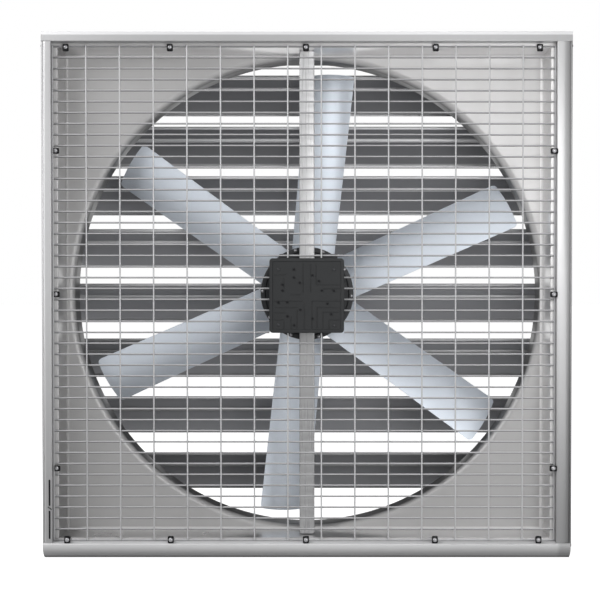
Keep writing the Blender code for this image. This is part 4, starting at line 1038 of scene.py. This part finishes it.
# %% Tube
POST_ROUND = 0.0035
POST_WALL = 0.002
POST_RECESS = 0.03
post_low, post_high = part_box("motor_post")
bm = block(post_low, post_high)
tall = [e for e in bm.edges if abs((e.verts[0].co - e.verts[1].co).z) > post_high.x]
rounded(bm, tall, POST_ROUND, 6)
ends = [f for f in bm.faces if abs(f.normal.z) > math.cos(SMOOTH_ANGLE)]
bmesh.ops.inset_region(bm, faces=ends, thickness=POST_WALL, use_even_offset=True)
for face in ends:
    way = -1 if face.calc_center_median().z > CENTRE.z else 1
    sunk = bmesh.ops.extrude_discrete_faces(bm, faces=[face])["faces"]
    bmesh.ops.translate(bm, vec=(0, 0, way * POST_RECESS), verts=sunk[0].verts)
bmesh.ops.recalc_face_normals(bm, faces=bm.faces)
post = finished(bm, "post_tube", post_zinc, "frame", ("motor_post",))
print("post:", len(post.data.polygons), "faces")

# %% A foot at each end
FOOT_SHEET = 0.002
for end, way in (("top", 1), ("bottom", -1)):
    node = f"post_bracket_{end}"
    low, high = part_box(node)
    wall = high.z if way > 0 else low.z
    foot = block((post_low.x + POST_ROUND, post_high.y + SEAM, low.z),
                 (post_high.x - POST_ROUND, high.y, high.z))
    bmesh.ops.bisect_plane(foot, geom=whole(foot), plane_co=(0, 0, wall - way * FOOT_SHEET),
                           plane_no=(0, 0, 1))
    toe = min(foot.faces, key=lambda f: (round(f.normal.y), abs(f.calc_center_median().z - wall)))
    grown = bmesh.ops.extrude_discrete_faces(foot, faces=[toe])["faces"]
    bmesh.ops.translate(foot, vec=(0, low.y - post_high.y - SEAM, 0), verts=grown[0].verts)
    finished(foot, f"post_foot_{end}", frame_zinc, "frame", (node,))
    print("foot at the", end, "reaches", round(high.z - low.z, 3), "m along the tube")

# %% [markdown]
# ## Controller box
# The black box is moulded in two halves: a lid with a raised rim, and a case behind it with a
# shadow groove between. Both are blocks with rounded corners, and an inset with a small depth
# sinks the lid's face inside its rim. Two thin plates are fixed to the post: one in front of
# it carries the box, and one behind it carries the motor and shows beside the post.

# %% Lid and case
BOX_ROUND = 0.009
BOX_SOFTEN = 0.0016
TOWARDS_ROOM = -0.9
RIM_WIDTH = 0.0078
RIM_HEIGHT = 0.0020
GROOVE = 0.0012


def soft_box(low, high):
    """A block with rounded corners seen from the room and softened edges."""
    bm = block(low, high)
    rounded(bm, deep_edges(bm), BOX_ROUND, 6)
    deep = set(deep_edges(bm))
    rounded(bm, [e for e in bm.edges if e not in deep], BOX_SOFTEN, 3)
    return bm


bm = soft_box(BOX_LOW, (BOX_HIGH.x, BOX_HIGH.y - GROOVE, BOX_HIGH.z))
face = max((f for f in bm.faces if f.normal.y < TOWARDS_ROOM), key=lambda f: f.calc_area())
bmesh.ops.inset_region(bm, faces=[face], thickness=RIM_WIDTH - BOX_SOFTEN, use_even_offset=True)
bmesh.ops.inset_region(bm, faces=[face], thickness=RIM_HEIGHT / 2, depth=-RIM_HEIGHT,
                       use_even_offset=True)
lid = finished(bm, "box_lid", black_plastic, "frame", ("controller_cover",))
case_low, case_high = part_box("controller_base")
case = finished(soft_box(case_low, case_high), "box_case", black_plastic, "frame",
                ("controller_base",))
print("box:", len(lid.data.polygons), "and", len(case.data.polygons), "faces")

# %% Plates that hold the box and the motor to the post
PLATE_SHEET = 0.0025
HOLD_LEFT = -0.075
HOLD_RIGHT = 0.082
HOLD_TOP = 0.7945
HOLD_BOTTOM = 0.600
HOLD_GAP = 0.0001


def flat_plate(low, high):
    """A plate with slightly rounded corners."""
    bm = block(low, high)
    rounded(bm, deep_edges(bm), BOX_SOFTEN, 3)
    return bm


plate_low, plate_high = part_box("controller_plate")
finished(flat_plate((case_low.x + BOX_ROUND, plate_low.y, case_low.z + BOX_ROUND),
                    (case_high.x - BOX_ROUND, plate_high.y, case_high.z - BOX_ROUND)),
         "box_plate", black_enamel, "frame", ("controller_plate",))
finished(flat_plate((HOLD_LEFT, post_high.y + HOLD_GAP, HOLD_BOTTOM),
                    (HOLD_RIGHT, post_high.y + HOLD_GAP + PLATE_SHEET, HOLD_TOP)),
         "motor_hold", black_enamel, "frame")

# %% [markdown]
# ## Relief on the lid
# Low ribs and studs stand on the lid's face, and a small screw sits near each of its corners.
# A bump in the material would look flat from the side, so they are shapes: each rib is a thin
# bar with softened front edges, and each stud a short tapered disc. Their places come from a
# plan of the lid in small units, across and down.

# %% Plan of the lid
PLAN_UNIT = 0.0001698
PLAN_MIDDLE = (791, 777)
LID_FACE = BOX_LOW.y + RIM_HEIGHT
LID_CENTRE = (BOX_LOW + BOX_HIGH) / 2
STUDS = ((595, 375), (595, 500), (880, 465), (685, 580), (980, 555), (420, 610), (420, 700),
         (1025, 700), (1210, 705), (355, 885), (495, 880), (1110, 900), (695, 995),
         (495, 1095), (1170, 1065), (880, 1130), (600, 1235))
SCREWS = ((355, 375), (1210, 375), (355, 1225), (1215, 1240))
RIBS = ((735, 300, 735, 720), (850, 300, 850, 720), (935, 300, 935, 600), (300, 455, 470, 455),
        (440, 520, 440, 660), (540, 760, 700, 760), (960, 610, 1290, 610), (1050, 670, 1290, 670),
        (870, 860, 1290, 860), (870, 860, 870, 1320), (950, 960, 1290, 960), (950, 960, 950, 1320),
        (1040, 1030, 1290, 1030), (1040, 1030, 1040, 1320), (1135, 1150, 1290, 1150),
        (1135, 1150, 1135, 1320), (300, 860, 720, 860), (300, 960, 640, 960), (755, 900, 755, 1320),
        (640, 1010, 640, 1320), (550, 1100, 550, 1320), (440, 1180, 440, 1320),
        (300, 1040, 470, 1040), (300, 1150, 420, 1150))


def on_lid(across, down):
    """X and Z of a place on the lid's plan."""
    return (LID_CENTRE.x + (across - PLAN_MIDDLE[0]) * PLAN_UNIT,
            LID_CENTRE.z + (PLAN_MIDDLE[1] - down) * PLAN_UNIT)


print("lid plan:", [[round(value, 3) for value in on_lid(*place)] for place in SCREWS])

# %% Ribs, studs and lid screws
STUD_RADIUS = 0.0033
STUD_HEIGHT = 0.0030
STUD_TAPER = 0.8
RIB_WIDTH = 0.0022
RIB_HEIGHT = 0.0012
RIB_SOFTEN = 0.6
LID_SCREW = (0.0044, 0.0022, 0.0019)
relief = bmesh.new()
for first_across, first_down, last_across, last_down in RIBS:
    x1, z1 = on_lid(first_across, first_down)
    x2, z2 = on_lid(last_across, last_down)
    size = Vector((abs(x2 - x1) + RIB_WIDTH, 2 * RIB_HEIGHT, abs(z2 - z1) + RIB_WIDTH))
    made = bar(relief, size, ((x1 + x2) / 2, LID_FACE, (z1 + z2) / 2))
    edges = {e for v in made for e in v.link_edges if all(w.co.y < LID_FACE for w in e.verts)}
    rounded(relief, list(edges), RIB_HEIGHT * RIB_SOFTEN, 2)
studs = bmesh.new()
for across, down in STUDS:
    x, z = on_lid(across, down)
    rod(studs, STUD_RADIUS, 2 * STUD_HEIGHT, 20, Matrix.Translation((x, LID_FACE, z)) @ FACING_ROOM,
        tip=STUD_RADIUS * STUD_TAPER)
lid_relief = finished(relief, "lid_relief", black_plastic, "frame")
# The studs take the darker clip black as painted shade, so that they show as dark dots.
lid_studs = finished(studs, "lid_studs", clip_black, "frame")
for number, (across, down) in enumerate(SCREWS, start=1):
    x, z = on_lid(across, down)
    finished(domed_screw(Vector((x, LID_FACE, z)), LID_SCREW, FACING_ROOM),
             f"lid_screw_{number}", black_enamel, "frame")
print("lid:", len(RIBS), "ribs,", len(STUDS), "studs and", len(SCREWS), "screws")

# %% [markdown]
# ## Motor face
# Behind the post sits the motor's round end shield, with a raised rim, a ring round the shaft
# and ten bright screws near its edge. A real one is cast and turned on a lathe. Here too a
# profile of a few points is spun a full turn about the fan's axis, which keeps every edge
# round. Low cooling ribs run outwards from the middle, each a thin bar turned to its place.

# %% Spun end shield
SHIELD_LOW, SHIELD_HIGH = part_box("motor_end_shield")
SHIELD_RADIUS = (SHIELD_HIGH.x - SHIELD_LOW.x) / 2
SHIELD_FRONT = SHIELD_LOW.y
SHIELD_BACK = SHIELD_HIGH.y
AXIS = Vector((0, 0, CENTRE.z))
RING_START = (0.030, 0.034)
RING_END = (0.046, 0.050)
RIM_BAND = 0.012
FACE_STEP = 0.0022
FACE_ROUND = 0.0025
FACE_SOFTEN = 0.3
SHAFT_RECESS = (0.024, 0.004)


def spun(profile, steps):
    """A line of (radius, y) points spun about the fan's axis into a closed shape."""
    bm = bmesh.new()
    verts = [bm.verts.new((radius, y, AXIS.z)) for radius, y in profile]
    edges = [bm.edges.new(pair) for pair in zip(verts, verts[1:])]
    bmesh.ops.spin(bm, geom=verts + edges, cent=AXIS, axis=(0, 1, 0), angle=math.tau, steps=steps,
                   use_merge=True)
    bmesh.ops.remove_doubles(bm, verts=bm.verts, dist=WELD_DISTANCE)
    bmesh.ops.recalc_face_normals(bm, faces=bm.faces)
    return bm


face_level = SHIELD_FRONT + FACE_STEP
profile = [(0.0, face_level), (RING_START[0], face_level), (RING_START[1], SHIELD_FRONT),
           (RING_END[0], SHIELD_FRONT), (RING_END[1], face_level),
           (SHIELD_RADIUS - RIM_BAND - FACE_STEP, face_level),
           (SHIELD_RADIUS - RIM_BAND, SHIELD_FRONT), (SHIELD_RADIUS - FACE_ROUND, SHIELD_FRONT),
           (SHIELD_RADIUS - FACE_ROUND * FACE_SOFTEN, SHIELD_FRONT + FACE_ROUND * FACE_SOFTEN),
           (SHIELD_RADIUS, SHIELD_FRONT + FACE_ROUND), (SHIELD_RADIUS, SHIELD_BACK),
           (SHAFT_RECESS[0], SHIELD_BACK), (SHAFT_RECESS[0], SHIELD_BACK - SHAFT_RECESS[1]),
           (0.0, SHIELD_BACK - SHAFT_RECESS[1])]
motor_face = finished(spun(profile, 96), "motor_face", black_enamel, "frame",
                      ("motor_end_shield",))
print("motor face:", len(motor_face.data.polygons), "faces")

# %% Cooling ribs and rim screws
FACE_RIBS = 20
FACE_RIB_SIZE = (0.056, 2 * FACE_STEP, 0.0026)
FACE_RIB_MIDDLE = 0.081
SHIELD_SCREWS = 10
SHIELD_SCREW = (0.0050, 0.0036, 0.0016)
SCREW_CIRCLE = 0.1195
SCREW_START = 33.0
ribs = bmesh.new()
place = Matrix.Translation(AXIS + Vector((0, face_level, 0)))
for i in range(FACE_RIBS):
    made = bar(ribs, FACE_RIB_SIZE, (0, 0, 0))
    turn = Matrix.Rotation(math.tau * i / FACE_RIBS, 4, "Y")
    out = Matrix.Translation((FACE_RIB_MIDDLE, 0, 0))
    bmesh.ops.transform(ribs, matrix=place @ turn @ out, verts=made)
finished(ribs, "motor_face_ribs", black_enamel, "frame")
for i in range(SHIELD_SCREWS):
    angle = math.radians(SCREW_START + 360 * i / SHIELD_SCREWS)
    centre = Vector((SCREW_CIRCLE * math.cos(angle), SHIELD_FRONT,
                     AXIS.z + SCREW_CIRCLE * math.sin(angle)))
    finished(domed_screw(centre, SHIELD_SCREW, FACING_ROOM), f"shield_screw_{i + 1:02d}",
             bright_screw, "frame")
print("motor face:", FACE_RIBS, "ribs and", SHIELD_SCREWS, "screws")

# %% [markdown]
# ## Blades
# Six identical blades sit on the hub's arms. A blade is pressed sheet with a gentle camber,
# and its pitch lessens towards its tip. It could be cut from a curved block, but sheet is
# easier to bend than to carve: a fine grid is moved point by point onto that surface, its
# outer corners are rounded off, and Solidify gives it its thickness. The edges lie one to
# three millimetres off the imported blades' edges, so the arms behind still fit.

# %% Blade surface
BLADE_ROOT = 0.085
BLADE_TIP = 0.613
LEADING_OFFSET = 0.0617
TRAILING_ROOT = 0.0572
TRAILING_TIP = 0.0705
LEAD_DEPTH = 0.1855
TRAIL_DEPTH = 0.2945
TIP_SETBACK = 0.0145
CAMBER = 0.075


def blade_point(reach, share):
    """Across and depth of the blade sheet at a reach, from leading edge 0 to trailing edge 1."""
    out = (reach - BLADE_ROOT) / (BLADE_TIP - BLADE_ROOT)
    width = LEADING_OFFSET + TRAILING_ROOT + (TRAILING_TIP - TRAILING_ROOT) * out
    rise = TRAIL_DEPTH - LEAD_DEPTH - 2 * TIP_SETBACK * out
    pitch = math.atan2(rise, width)
    bulge = CAMBER * math.hypot(width, rise) * 4 * share * (1 - share)
    across = -LEADING_OFFSET + width * share + bulge * math.sin(pitch)
    depth = LEAD_DEPTH + TIP_SETBACK * out + rise * share - bulge * math.cos(pitch)
    return across, depth


tip_width = blade_point(BLADE_TIP, 1)[0] - blade_point(BLADE_TIP, 0)[0]
print("a blade is", round(tip_width, 4), "m wide at its tip")

# %% Six blades
BLADE_COUNT = 6
BLADE_PHASE = 23.5
TIP_CORNER = 0.011
BLADE_SHEET = 0.002
GRID_EDGE = 0.499


def blade(number):
    """One blade, as a sheet along +X that is then turned to its place."""
    bm = bmesh.new()
    bmesh.ops.create_grid(bm, x_segments=28, y_segments=14, size=0.5)
    corners = [v for v in bm.verts if v.co.x > GRID_EDGE and abs(v.co.y) > GRID_EDGE]
    for vert in bm.verts:
        out = vert.co.x + 0.5
        share = vert.co.y + 0.5
        across, depth = blade_point(BLADE_ROOT + out * (BLADE_TIP - BLADE_ROOT), share)
        end = math.sqrt(BLADE_TIP ** 2 - across ** 2)
        vert.co = (BLADE_ROOT + out * (end - BLADE_ROOT), FRONT + depth, across)
    bmesh.ops.bevel(bm, geom=corners, offset=TIP_CORNER, segments=5, profile=0.5,
                    affect="VERTICES", material=-1)
    turn = Matrix.Rotation(-math.radians(BLADE_PHASE + 360 / BLADE_COUNT * number), 4, "Y")
    bmesh.ops.transform(bm, matrix=Matrix.Translation(AXIS) @ turn, verts=bm.verts)
    if bm.faces[:][0].normal.y > 0:
        bmesh.ops.reverse_faces(bm, faces=bm.faces)
    return bm


for number in range(BLADE_COUNT):
    piece = finished(blade(number), f"blade_{number + 1}", blade_metal, "rotor",
                     (f"fan_blade_{number + 1}",), BLADE_SHEET)
print("blades:", BLADE_COUNT, "of", len(piece.data.polygons), "faces each")

# %% [markdown]
# ## Louvres
# Behind the blades eight long louvres stand open. Each is one rolled strip: a curled hem on
# its upper edge, a round bead along its pivot line, and a lip at the bottom that bends to the
# vertical. The section is the same all the way across, so it is drawn once as a line of
# points and swept across the housing, as the side walls are. Each hangs a little steeper
# than the one above it.

# %% Where the louvres turn
FIRST_ANGLE = 56.0
ANGLE_STEP = 1.75
louvre_joints = {joint["child"]: joint for joint in frame["joints"]}
louvres = []
for number in range(1, 9):
    pivot = Vector(louvre_joints[f"shutter_{number}"]["pos_m"])
    louvres.append((number, pivot, math.radians(FIRST_ANGLE - ANGLE_STEP * (number - 1))))
print("louvre pivots at z", [round(pivot.z, 3) for number, pivot, angle in louvres])

# %% Louvre sheets
LOUVRE_HALF = 0.6798
UPPER_CHORD = 0.060
LOUVRE_SHEET = 0.0010
HEM_CURL = 0.0045
PIVOT_BEAD = 0.0055
LIP_BEND = 0.007
LIP_DROP = 0.0022
LIP_START = 0.1045
CURL_MARGIN = 0.001
FLAT_MARGIN = 0.003


def louvre_section(angle):
    """The section as (down, towards the room) points, and whether each is on a rolled edge."""
    curl = arc((-UPPER_CHORD + HEM_CURL, HEM_CURL), HEM_CURL, 30, 270, 12)
    bead = arc((0.0, 0.0), PIVOT_BEAD, 180, 0, 10)
    lip = arc((LIP_START, LIP_BEND), LIP_BEND, 270, 270 + math.degrees(angle), 8)
    last_down, last_near = lip[-1]
    lip.append((last_down + LIP_DROP * math.cos(angle), last_near + LIP_DROP * math.sin(angle)))
    upper = [(-UPPER_CHORD + HEM_CURL + CURL_MARGIN, 0.0), (-PIVOT_BEAD - FLAT_MARGIN, 0.0)]
    lower = [(PIVOT_BEAD + FLAT_MARGIN, 0.0), (LIP_START - FLAT_MARGIN, 0.0)]
    points = curl + upper + bead + lower + lip
    bright = [1] * len(curl) + [0, 0] + [1] * len(bead) + [0, 0] + [1] * len(lip)
    return points, bright


def louvre(pivot, angle):
    """One louvre sheet, swept across the housing."""
    line = []
    points, bright = louvre_section(angle)
    for down, near in points:
        y = down * math.sin(angle) - near * math.cos(angle)
        z = -down * math.cos(angle) - near * math.sin(angle)
        line.append(Vector((-LOUVRE_HALF, pivot.y + y, pivot.z + z)))
    bm = strip(line, (2 * LOUVRE_HALF, 0, 0))
    layer = bm.verts.layers.float.new(BRIGHT_EDGE)
    for vert in bm.verts:
        side = vert.co - Vector((vert.co.x + LOUVRE_HALF, 0, 0))
        nearest = min(range(len(line)), key=lambda i: (line[i] - side).length)
        vert[layer] = bright[nearest]
    return bm


for number, pivot, angle in louvres:
    piece = finished(louvre(pivot, angle), f"louvre_{number}", louvre_zinc, f"shutter_{number}",
                     (f"shutter_blade_{number}",), LOUVRE_SHEET)
print("louvres:", len(louvres), "of", len(piece.data.polygons), "faces each")

# %% [markdown]
# ## Cranks and pins
# A louvre turns on a short pin at each end. In its middle a flat crank reaches back, and a pin
# in its eye goes through the tie bar, which turns all eight together. The crank is a flat
# outline of a few points with a round eye, filled and extruded to its thickness, because it
# is cut from plate. It rides on its louvre's body, so it follows at every angle.

# %% Cranks and pins
CRANK_REACH = 0.135
CRANK_TURN = math.radians(62.0)
CRANK_HALF = 0.0015
CRANK_ROOT = (0.078, 0.112)
EYE_RADIUS = 0.007
EYE_STEPS = 8
EYE_PIN = 0.0024
EYE_PIN_REACH = 0.0062
PIN_RADIUS = 0.0038
PIN_ROOT = LOUVRE_HALF - 0.02
PIN_TIP = 0.6879


def add_pin(bm, centre, radius, start, end):
    """A pin along X from start to end."""
    place = Matrix.Translation((centre.x + (start + end) / 2, centre.y, centre.z))
    rod(bm, radius, abs(end - start), 16, place @ Matrix.Rotation(math.pi / 2, 4, "Y"))


def crank(pivot, angle):
    """A plate from the louvre out to the eye, with the eye's pin and the louvre's end pins."""
    eye = Vector((0, CRANK_REACH * math.sin(CRANK_TURN), -CRANK_REACH * math.cos(CRANK_TURN)))
    outline = [Vector((0, down * math.sin(angle), -down * math.cos(angle))) for down in CRANK_ROOT]
    away = math.atan2(eye.z - outline[1].z, eye.y - outline[1].y)
    for i in range(EYE_STEPS + 1):
        bend = away - math.pi / 2 + math.pi * i / EYE_STEPS
        outline.append(eye + EYE_RADIUS * Vector((0, math.cos(bend), math.sin(bend))))
    bm = bmesh.new()
    plate = bm.faces.new([bm.verts.new(pivot + point - Vector((CRANK_HALF, 0, 0)))
                          for point in outline])
    grown = bmesh.ops.extrude_face_region(bm, geom=[plate])["geom"]
    bmesh.ops.translate(bm, vec=(2 * CRANK_HALF, 0, 0), verts=points_of(grown))
    add_pin(bm, pivot + eye, EYE_PIN, 0.0, EYE_PIN_REACH)
    for side in (-1, 1):
        add_pin(bm, pivot, PIN_RADIUS, side * PIN_ROOT, side * PIN_TIP)
    bmesh.ops.recalc_face_normals(bm, faces=bm.faces)
    return bm


for number, pivot, angle in louvres:
    piece = finished(crank(pivot, angle), f"louvre_crank_{number}", frame_zinc,
                     f"shutter_{number}")
print("cranks:", len(louvres), "of", len(piece.data.polygons), "faces each")

# %% [markdown]
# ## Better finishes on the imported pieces
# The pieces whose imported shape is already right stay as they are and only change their
# finish: the shaft with its nut, the cast hub with its arms, the parts inside the motor, the
# circuit board, and the shutter's side rails and tie bar. A table of node and finish says
# which is which, so nothing is modelled twice.

# %% Finishes by node
CARRIED = {
    "controller_board": board_green,
    "motor_casing": black_enamel, "motor_stator": winding_copper,
    "motor_bearing_front": turned_steel, "motor_bearing_rear": turned_steel,
    "motor_shaft": turned_steel, "shaft_nut": turned_steel, "motor_rotor_core": core_iron,
    "fan_hub": cast_metal, "shutter_rail_left": frame_zinc, "shutter_rail_right": frame_zinc,
    "shutter_tie_bar": frame_zinc,
}
for node, finish in CARRIED.items():
    frame["nodes"][node].data.materials.clear()
    frame["nodes"][node].data.materials.append(finish)
print("carried nodes:", len(CARRIED))

# %% [markdown]
# ## Bolt heads on the outer sides
# On each outer side two dark bolts hold the housing together, near its corners. Only their
# heads show, so the domed screw is used again, larger and turned to face sideways. The side
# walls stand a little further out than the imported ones, and the heads are seated on the new
# surface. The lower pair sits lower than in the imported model.

# %% Four bolt heads
BOLT_HEAD = (0.0062, 0.0040, 0.0024)
BOLT_DROP = 0.0215
FACING_SIDE = {-1: Matrix.Rotation(-math.pi / 2, 4, "Y"), 1: Matrix.Rotation(math.pi / 2, 4, "Y")}
for number in range(1, 5):
    low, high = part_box(f"side_bolt_{number}")
    middle = (low + high) / 2
    side = 1 if middle.x > 0 else -1
    drop = BOLT_DROP if middle.z < CENTRE.z else 0.0
    seat = Vector((side * (HALF_WIDTH + SPREAD[side] + SEAM), middle.y, middle.z - drop))
    finished(domed_screw(seat, BOLT_HEAD, FACING_SIDE[side]), f"bolt_head_{number}", dark_bolt,
             "frame", (f"side_bolt_{number}",))
    print("bolt head", number, "at z", round(seat.z, 4))

# %% [markdown]
# ## Slots in the left rail
# Low on the left rail are two narrow dark slots, one above the other, with a small slanting
# hook between them. Cutting real holes would break the rail's swept surface for two dark
# lines, so the slots are thin black bars with round ends, let into the rail's face, as painted
# shade for the dark inside the holes. The hook is a small softened bar turned to its slant.

# %% Two slots and a hook
SLOT_X = -0.6731
SLOT_HALF = 0.0022
SLOT_DEPTH = 0.0012
SLOT_END = 0.9
SLOTS = ((0.1330, 0.2020), (0.0465, 0.1205))
HOOK_SIZE = (0.0125, 0.0030, 0.0030)
HOOK_SOFTEN = 0.0008
HOOK_PLACE = (SLOT_X + 0.0008, FRONT, 0.1270)
HOOK_SLANT = math.radians(35)
slots = bmesh.new()
for low_z, high_z in SLOTS:
    bar(slots, (2 * SLOT_HALF, SLOT_DEPTH, high_z - low_z), (SLOT_X, FRONT, (low_z + high_z) / 2))
rounded(slots, deep_edges(slots), SLOT_HALF * SLOT_END, 4)
# The slots are black bars as painted shade, standing in for the dark inside real holes.
rail_slots = finished(slots, "rail_slots", clip_black, "frame")
hook = bmesh.new()
bar(hook, HOOK_SIZE, (0, 0, 0))
rounded(hook, hook.edges[:], HOOK_SOFTEN, 2)
turn = Matrix.Translation(HOOK_PLACE) @ Matrix.Rotation(HOOK_SLANT, 4, "Y")
bmesh.ops.transform(hook, matrix=turn, verts=hook.verts)
finished(hook, "rail_hook", dark_bolt, "frame")
print("rail slots:", len(rail_slots.data.polygons), "faces")

# %% [markdown]
# ## Floor, background and light
# The floor and the background are plain white. The world is white to the camera and in
# reflections, and dim as a light, so metal shows the white room and is still lit softly. The
# floor gets the same white on top of its own shading, so the soft shadow stays. Six square
# lamps light the fan: a strong one at the upper left, two weaker ones in front, a low one at
# the right for the lower rail and panel, and one each above and at the left of the housing
# for its outer sides.

# %% World
WORLD_LIGHT = 0.12


def background_share(tree):
    """1 for camera, glossy and transmission rays, and 0 for the others."""
    path = tree.nodes.new("ShaderNodeLightPath")
    last = path.outputs["Is Camera Ray"]
    for kind in ("Is Glossy Ray", "Is Transmission Ray"):
        either = tree.nodes.new("ShaderNodeMath")
        either.operation = "MAXIMUM"
        tree.links.new(last, either.inputs[0])
        tree.links.new(path.outputs[kind], either.inputs[1])
        last = either.outputs[0]
    return last


world = bpy.data.worlds.new("studio")
world.use_nodes = True
bpy.context.scene.world = world
tree = world.node_tree
plain = tree.nodes["Background"]
plain.inputs["Color"].default_value = (1.0, 1.0, 1.0, 1.0)
plain.inputs["Strength"].default_value = WORLD_LIGHT
white = tree.nodes.new("ShaderNodeBackground")
white.inputs["Color"].default_value = (1.0, 1.0, 1.0, 1.0)
white.inputs["Strength"].default_value = 1.0
mix = tree.nodes.new("ShaderNodeMixShader")
tree.links.new(background_share(tree), mix.inputs["Fac"])
tree.links.new(plain.outputs[0], mix.inputs[1])
tree.links.new(white.outputs[0], mix.inputs[2])
tree.links.new(mix.outputs[0], tree.nodes["World Output"].inputs["Surface"])
print("world light:", WORLD_LIGHT)

# %% Floor
FLOOR_SIZE = 60.0
FLOOR_LEVEL = -0.0055
FLOOR_GLOW = 0.92
floor_finish = new_finish("floor_white", (0.40, 0.40, 0.40), 0.9, 0.0)
tree = floor_finish.node_tree
glow = tree.nodes.new("ShaderNodeEmission")
glow.inputs["Color"].default_value = (1.0, 1.0, 1.0, 1.0)
share = tree.nodes.new("ShaderNodeMath")
share.operation = "MULTIPLY"
share.inputs[1].default_value = FLOOR_GLOW
tree.links.new(background_share(tree), share.inputs[0])
tree.links.new(share.outputs[0], glow.inputs["Strength"])
both = tree.nodes.new("ShaderNodeAddShader")
tree.links.new(shader_of(floor_finish).outputs[0], both.inputs[0])
tree.links.new(glow.outputs[0], both.inputs[1])
tree.links.new(both.outputs[0], tree.nodes["Material Output"].inputs["Surface"])
bm = bmesh.new()
bmesh.ops.create_grid(bm, x_segments=1, y_segments=1, size=FLOOR_SIZE / 2)
floor_mesh = bpy.data.meshes.new("floor")
bm.to_mesh(floor_mesh)
bm.free()
floor_mesh.materials.append(floor_finish)
floor = bpy.data.objects.new("floor", floor_mesh)
floor.location.z = FLOOR_LEVEL
bpy.context.scene.collection.objects.link(floor)
print("floor at z", FLOOR_LEVEL)

# %% Lamps
LAMPS = (
    ("key_light", (-1.7, -1.7, 2.1), (0, 0, 0.75), 1.2, 42.0),
    ("front_light", (0.6, -1.95, 1.2), (0.4, 0, 0.95), 0.9, 14.0),
    ("right_light", (0.75, -1.5, 1.05), (0.6, 0, 0.95), 0.45, 2.5),
    ("low_light", (1.3, -1.6, 0.35), (0, 0, 0.45), 1.0, 11.0),
    ("top_light", (0, FRONT + 0.35, 3.0), (0, FRONT + 0.2, 1.4), 1.6, 26.0),
    ("left_light", (-2.3, FRONT + 0.3, 1.1), (-0.7, FRONT + 0.2, 0.8), 1.4, 22.0),
)
for name, place, target, size, watts in LAMPS:
    light = bpy.data.lights.new(name, "AREA")
    light.size = size
    light.energy = watts
    holder = bpy.data.objects.new(name, light)
    holder.location = place
    way = Vector(target) - Vector(place)
    holder.rotation_euler = way.to_track_quat("-Z", "Y").to_euler()
    bpy.context.scene.collection.objects.link(holder)
print("lamps:", len(bpy.data.lights), "with", sum(lamp[4] for lamp in LAMPS), "W in all")

# %% [markdown]
# ## Camera
# The photograph looks almost straight in, from about three metres, a little above the middle.
# The nearly equal rails and the visible inner walls fix the distance, and the small shift
# puts the fan's axis right of the picture's centre, as it is there.

# %% Camera
CAMERA_DISTANCE = 3.1
CAMERA_TILT = 0.977
camera_data = bpy.data.cameras.new("camera")
camera_data.lens = 71.28
camera_data.sensor_width = 36.0
camera_data.shift_x = -0.03
camera = bpy.data.objects.new("camera", camera_data)
camera.location = (0.0295, FRONT - CAMERA_DISTANCE, 0.725)
camera.rotation_euler = (math.radians(90.0 - CAMERA_TILT), 0.0, 0.0)
bpy.context.scene.collection.objects.link(camera)
bpy.context.scene.camera = camera
bpy.context.scene.view_settings.view_transform = "Standard"
print("camera at", [round(value, 3) for value in camera.location])
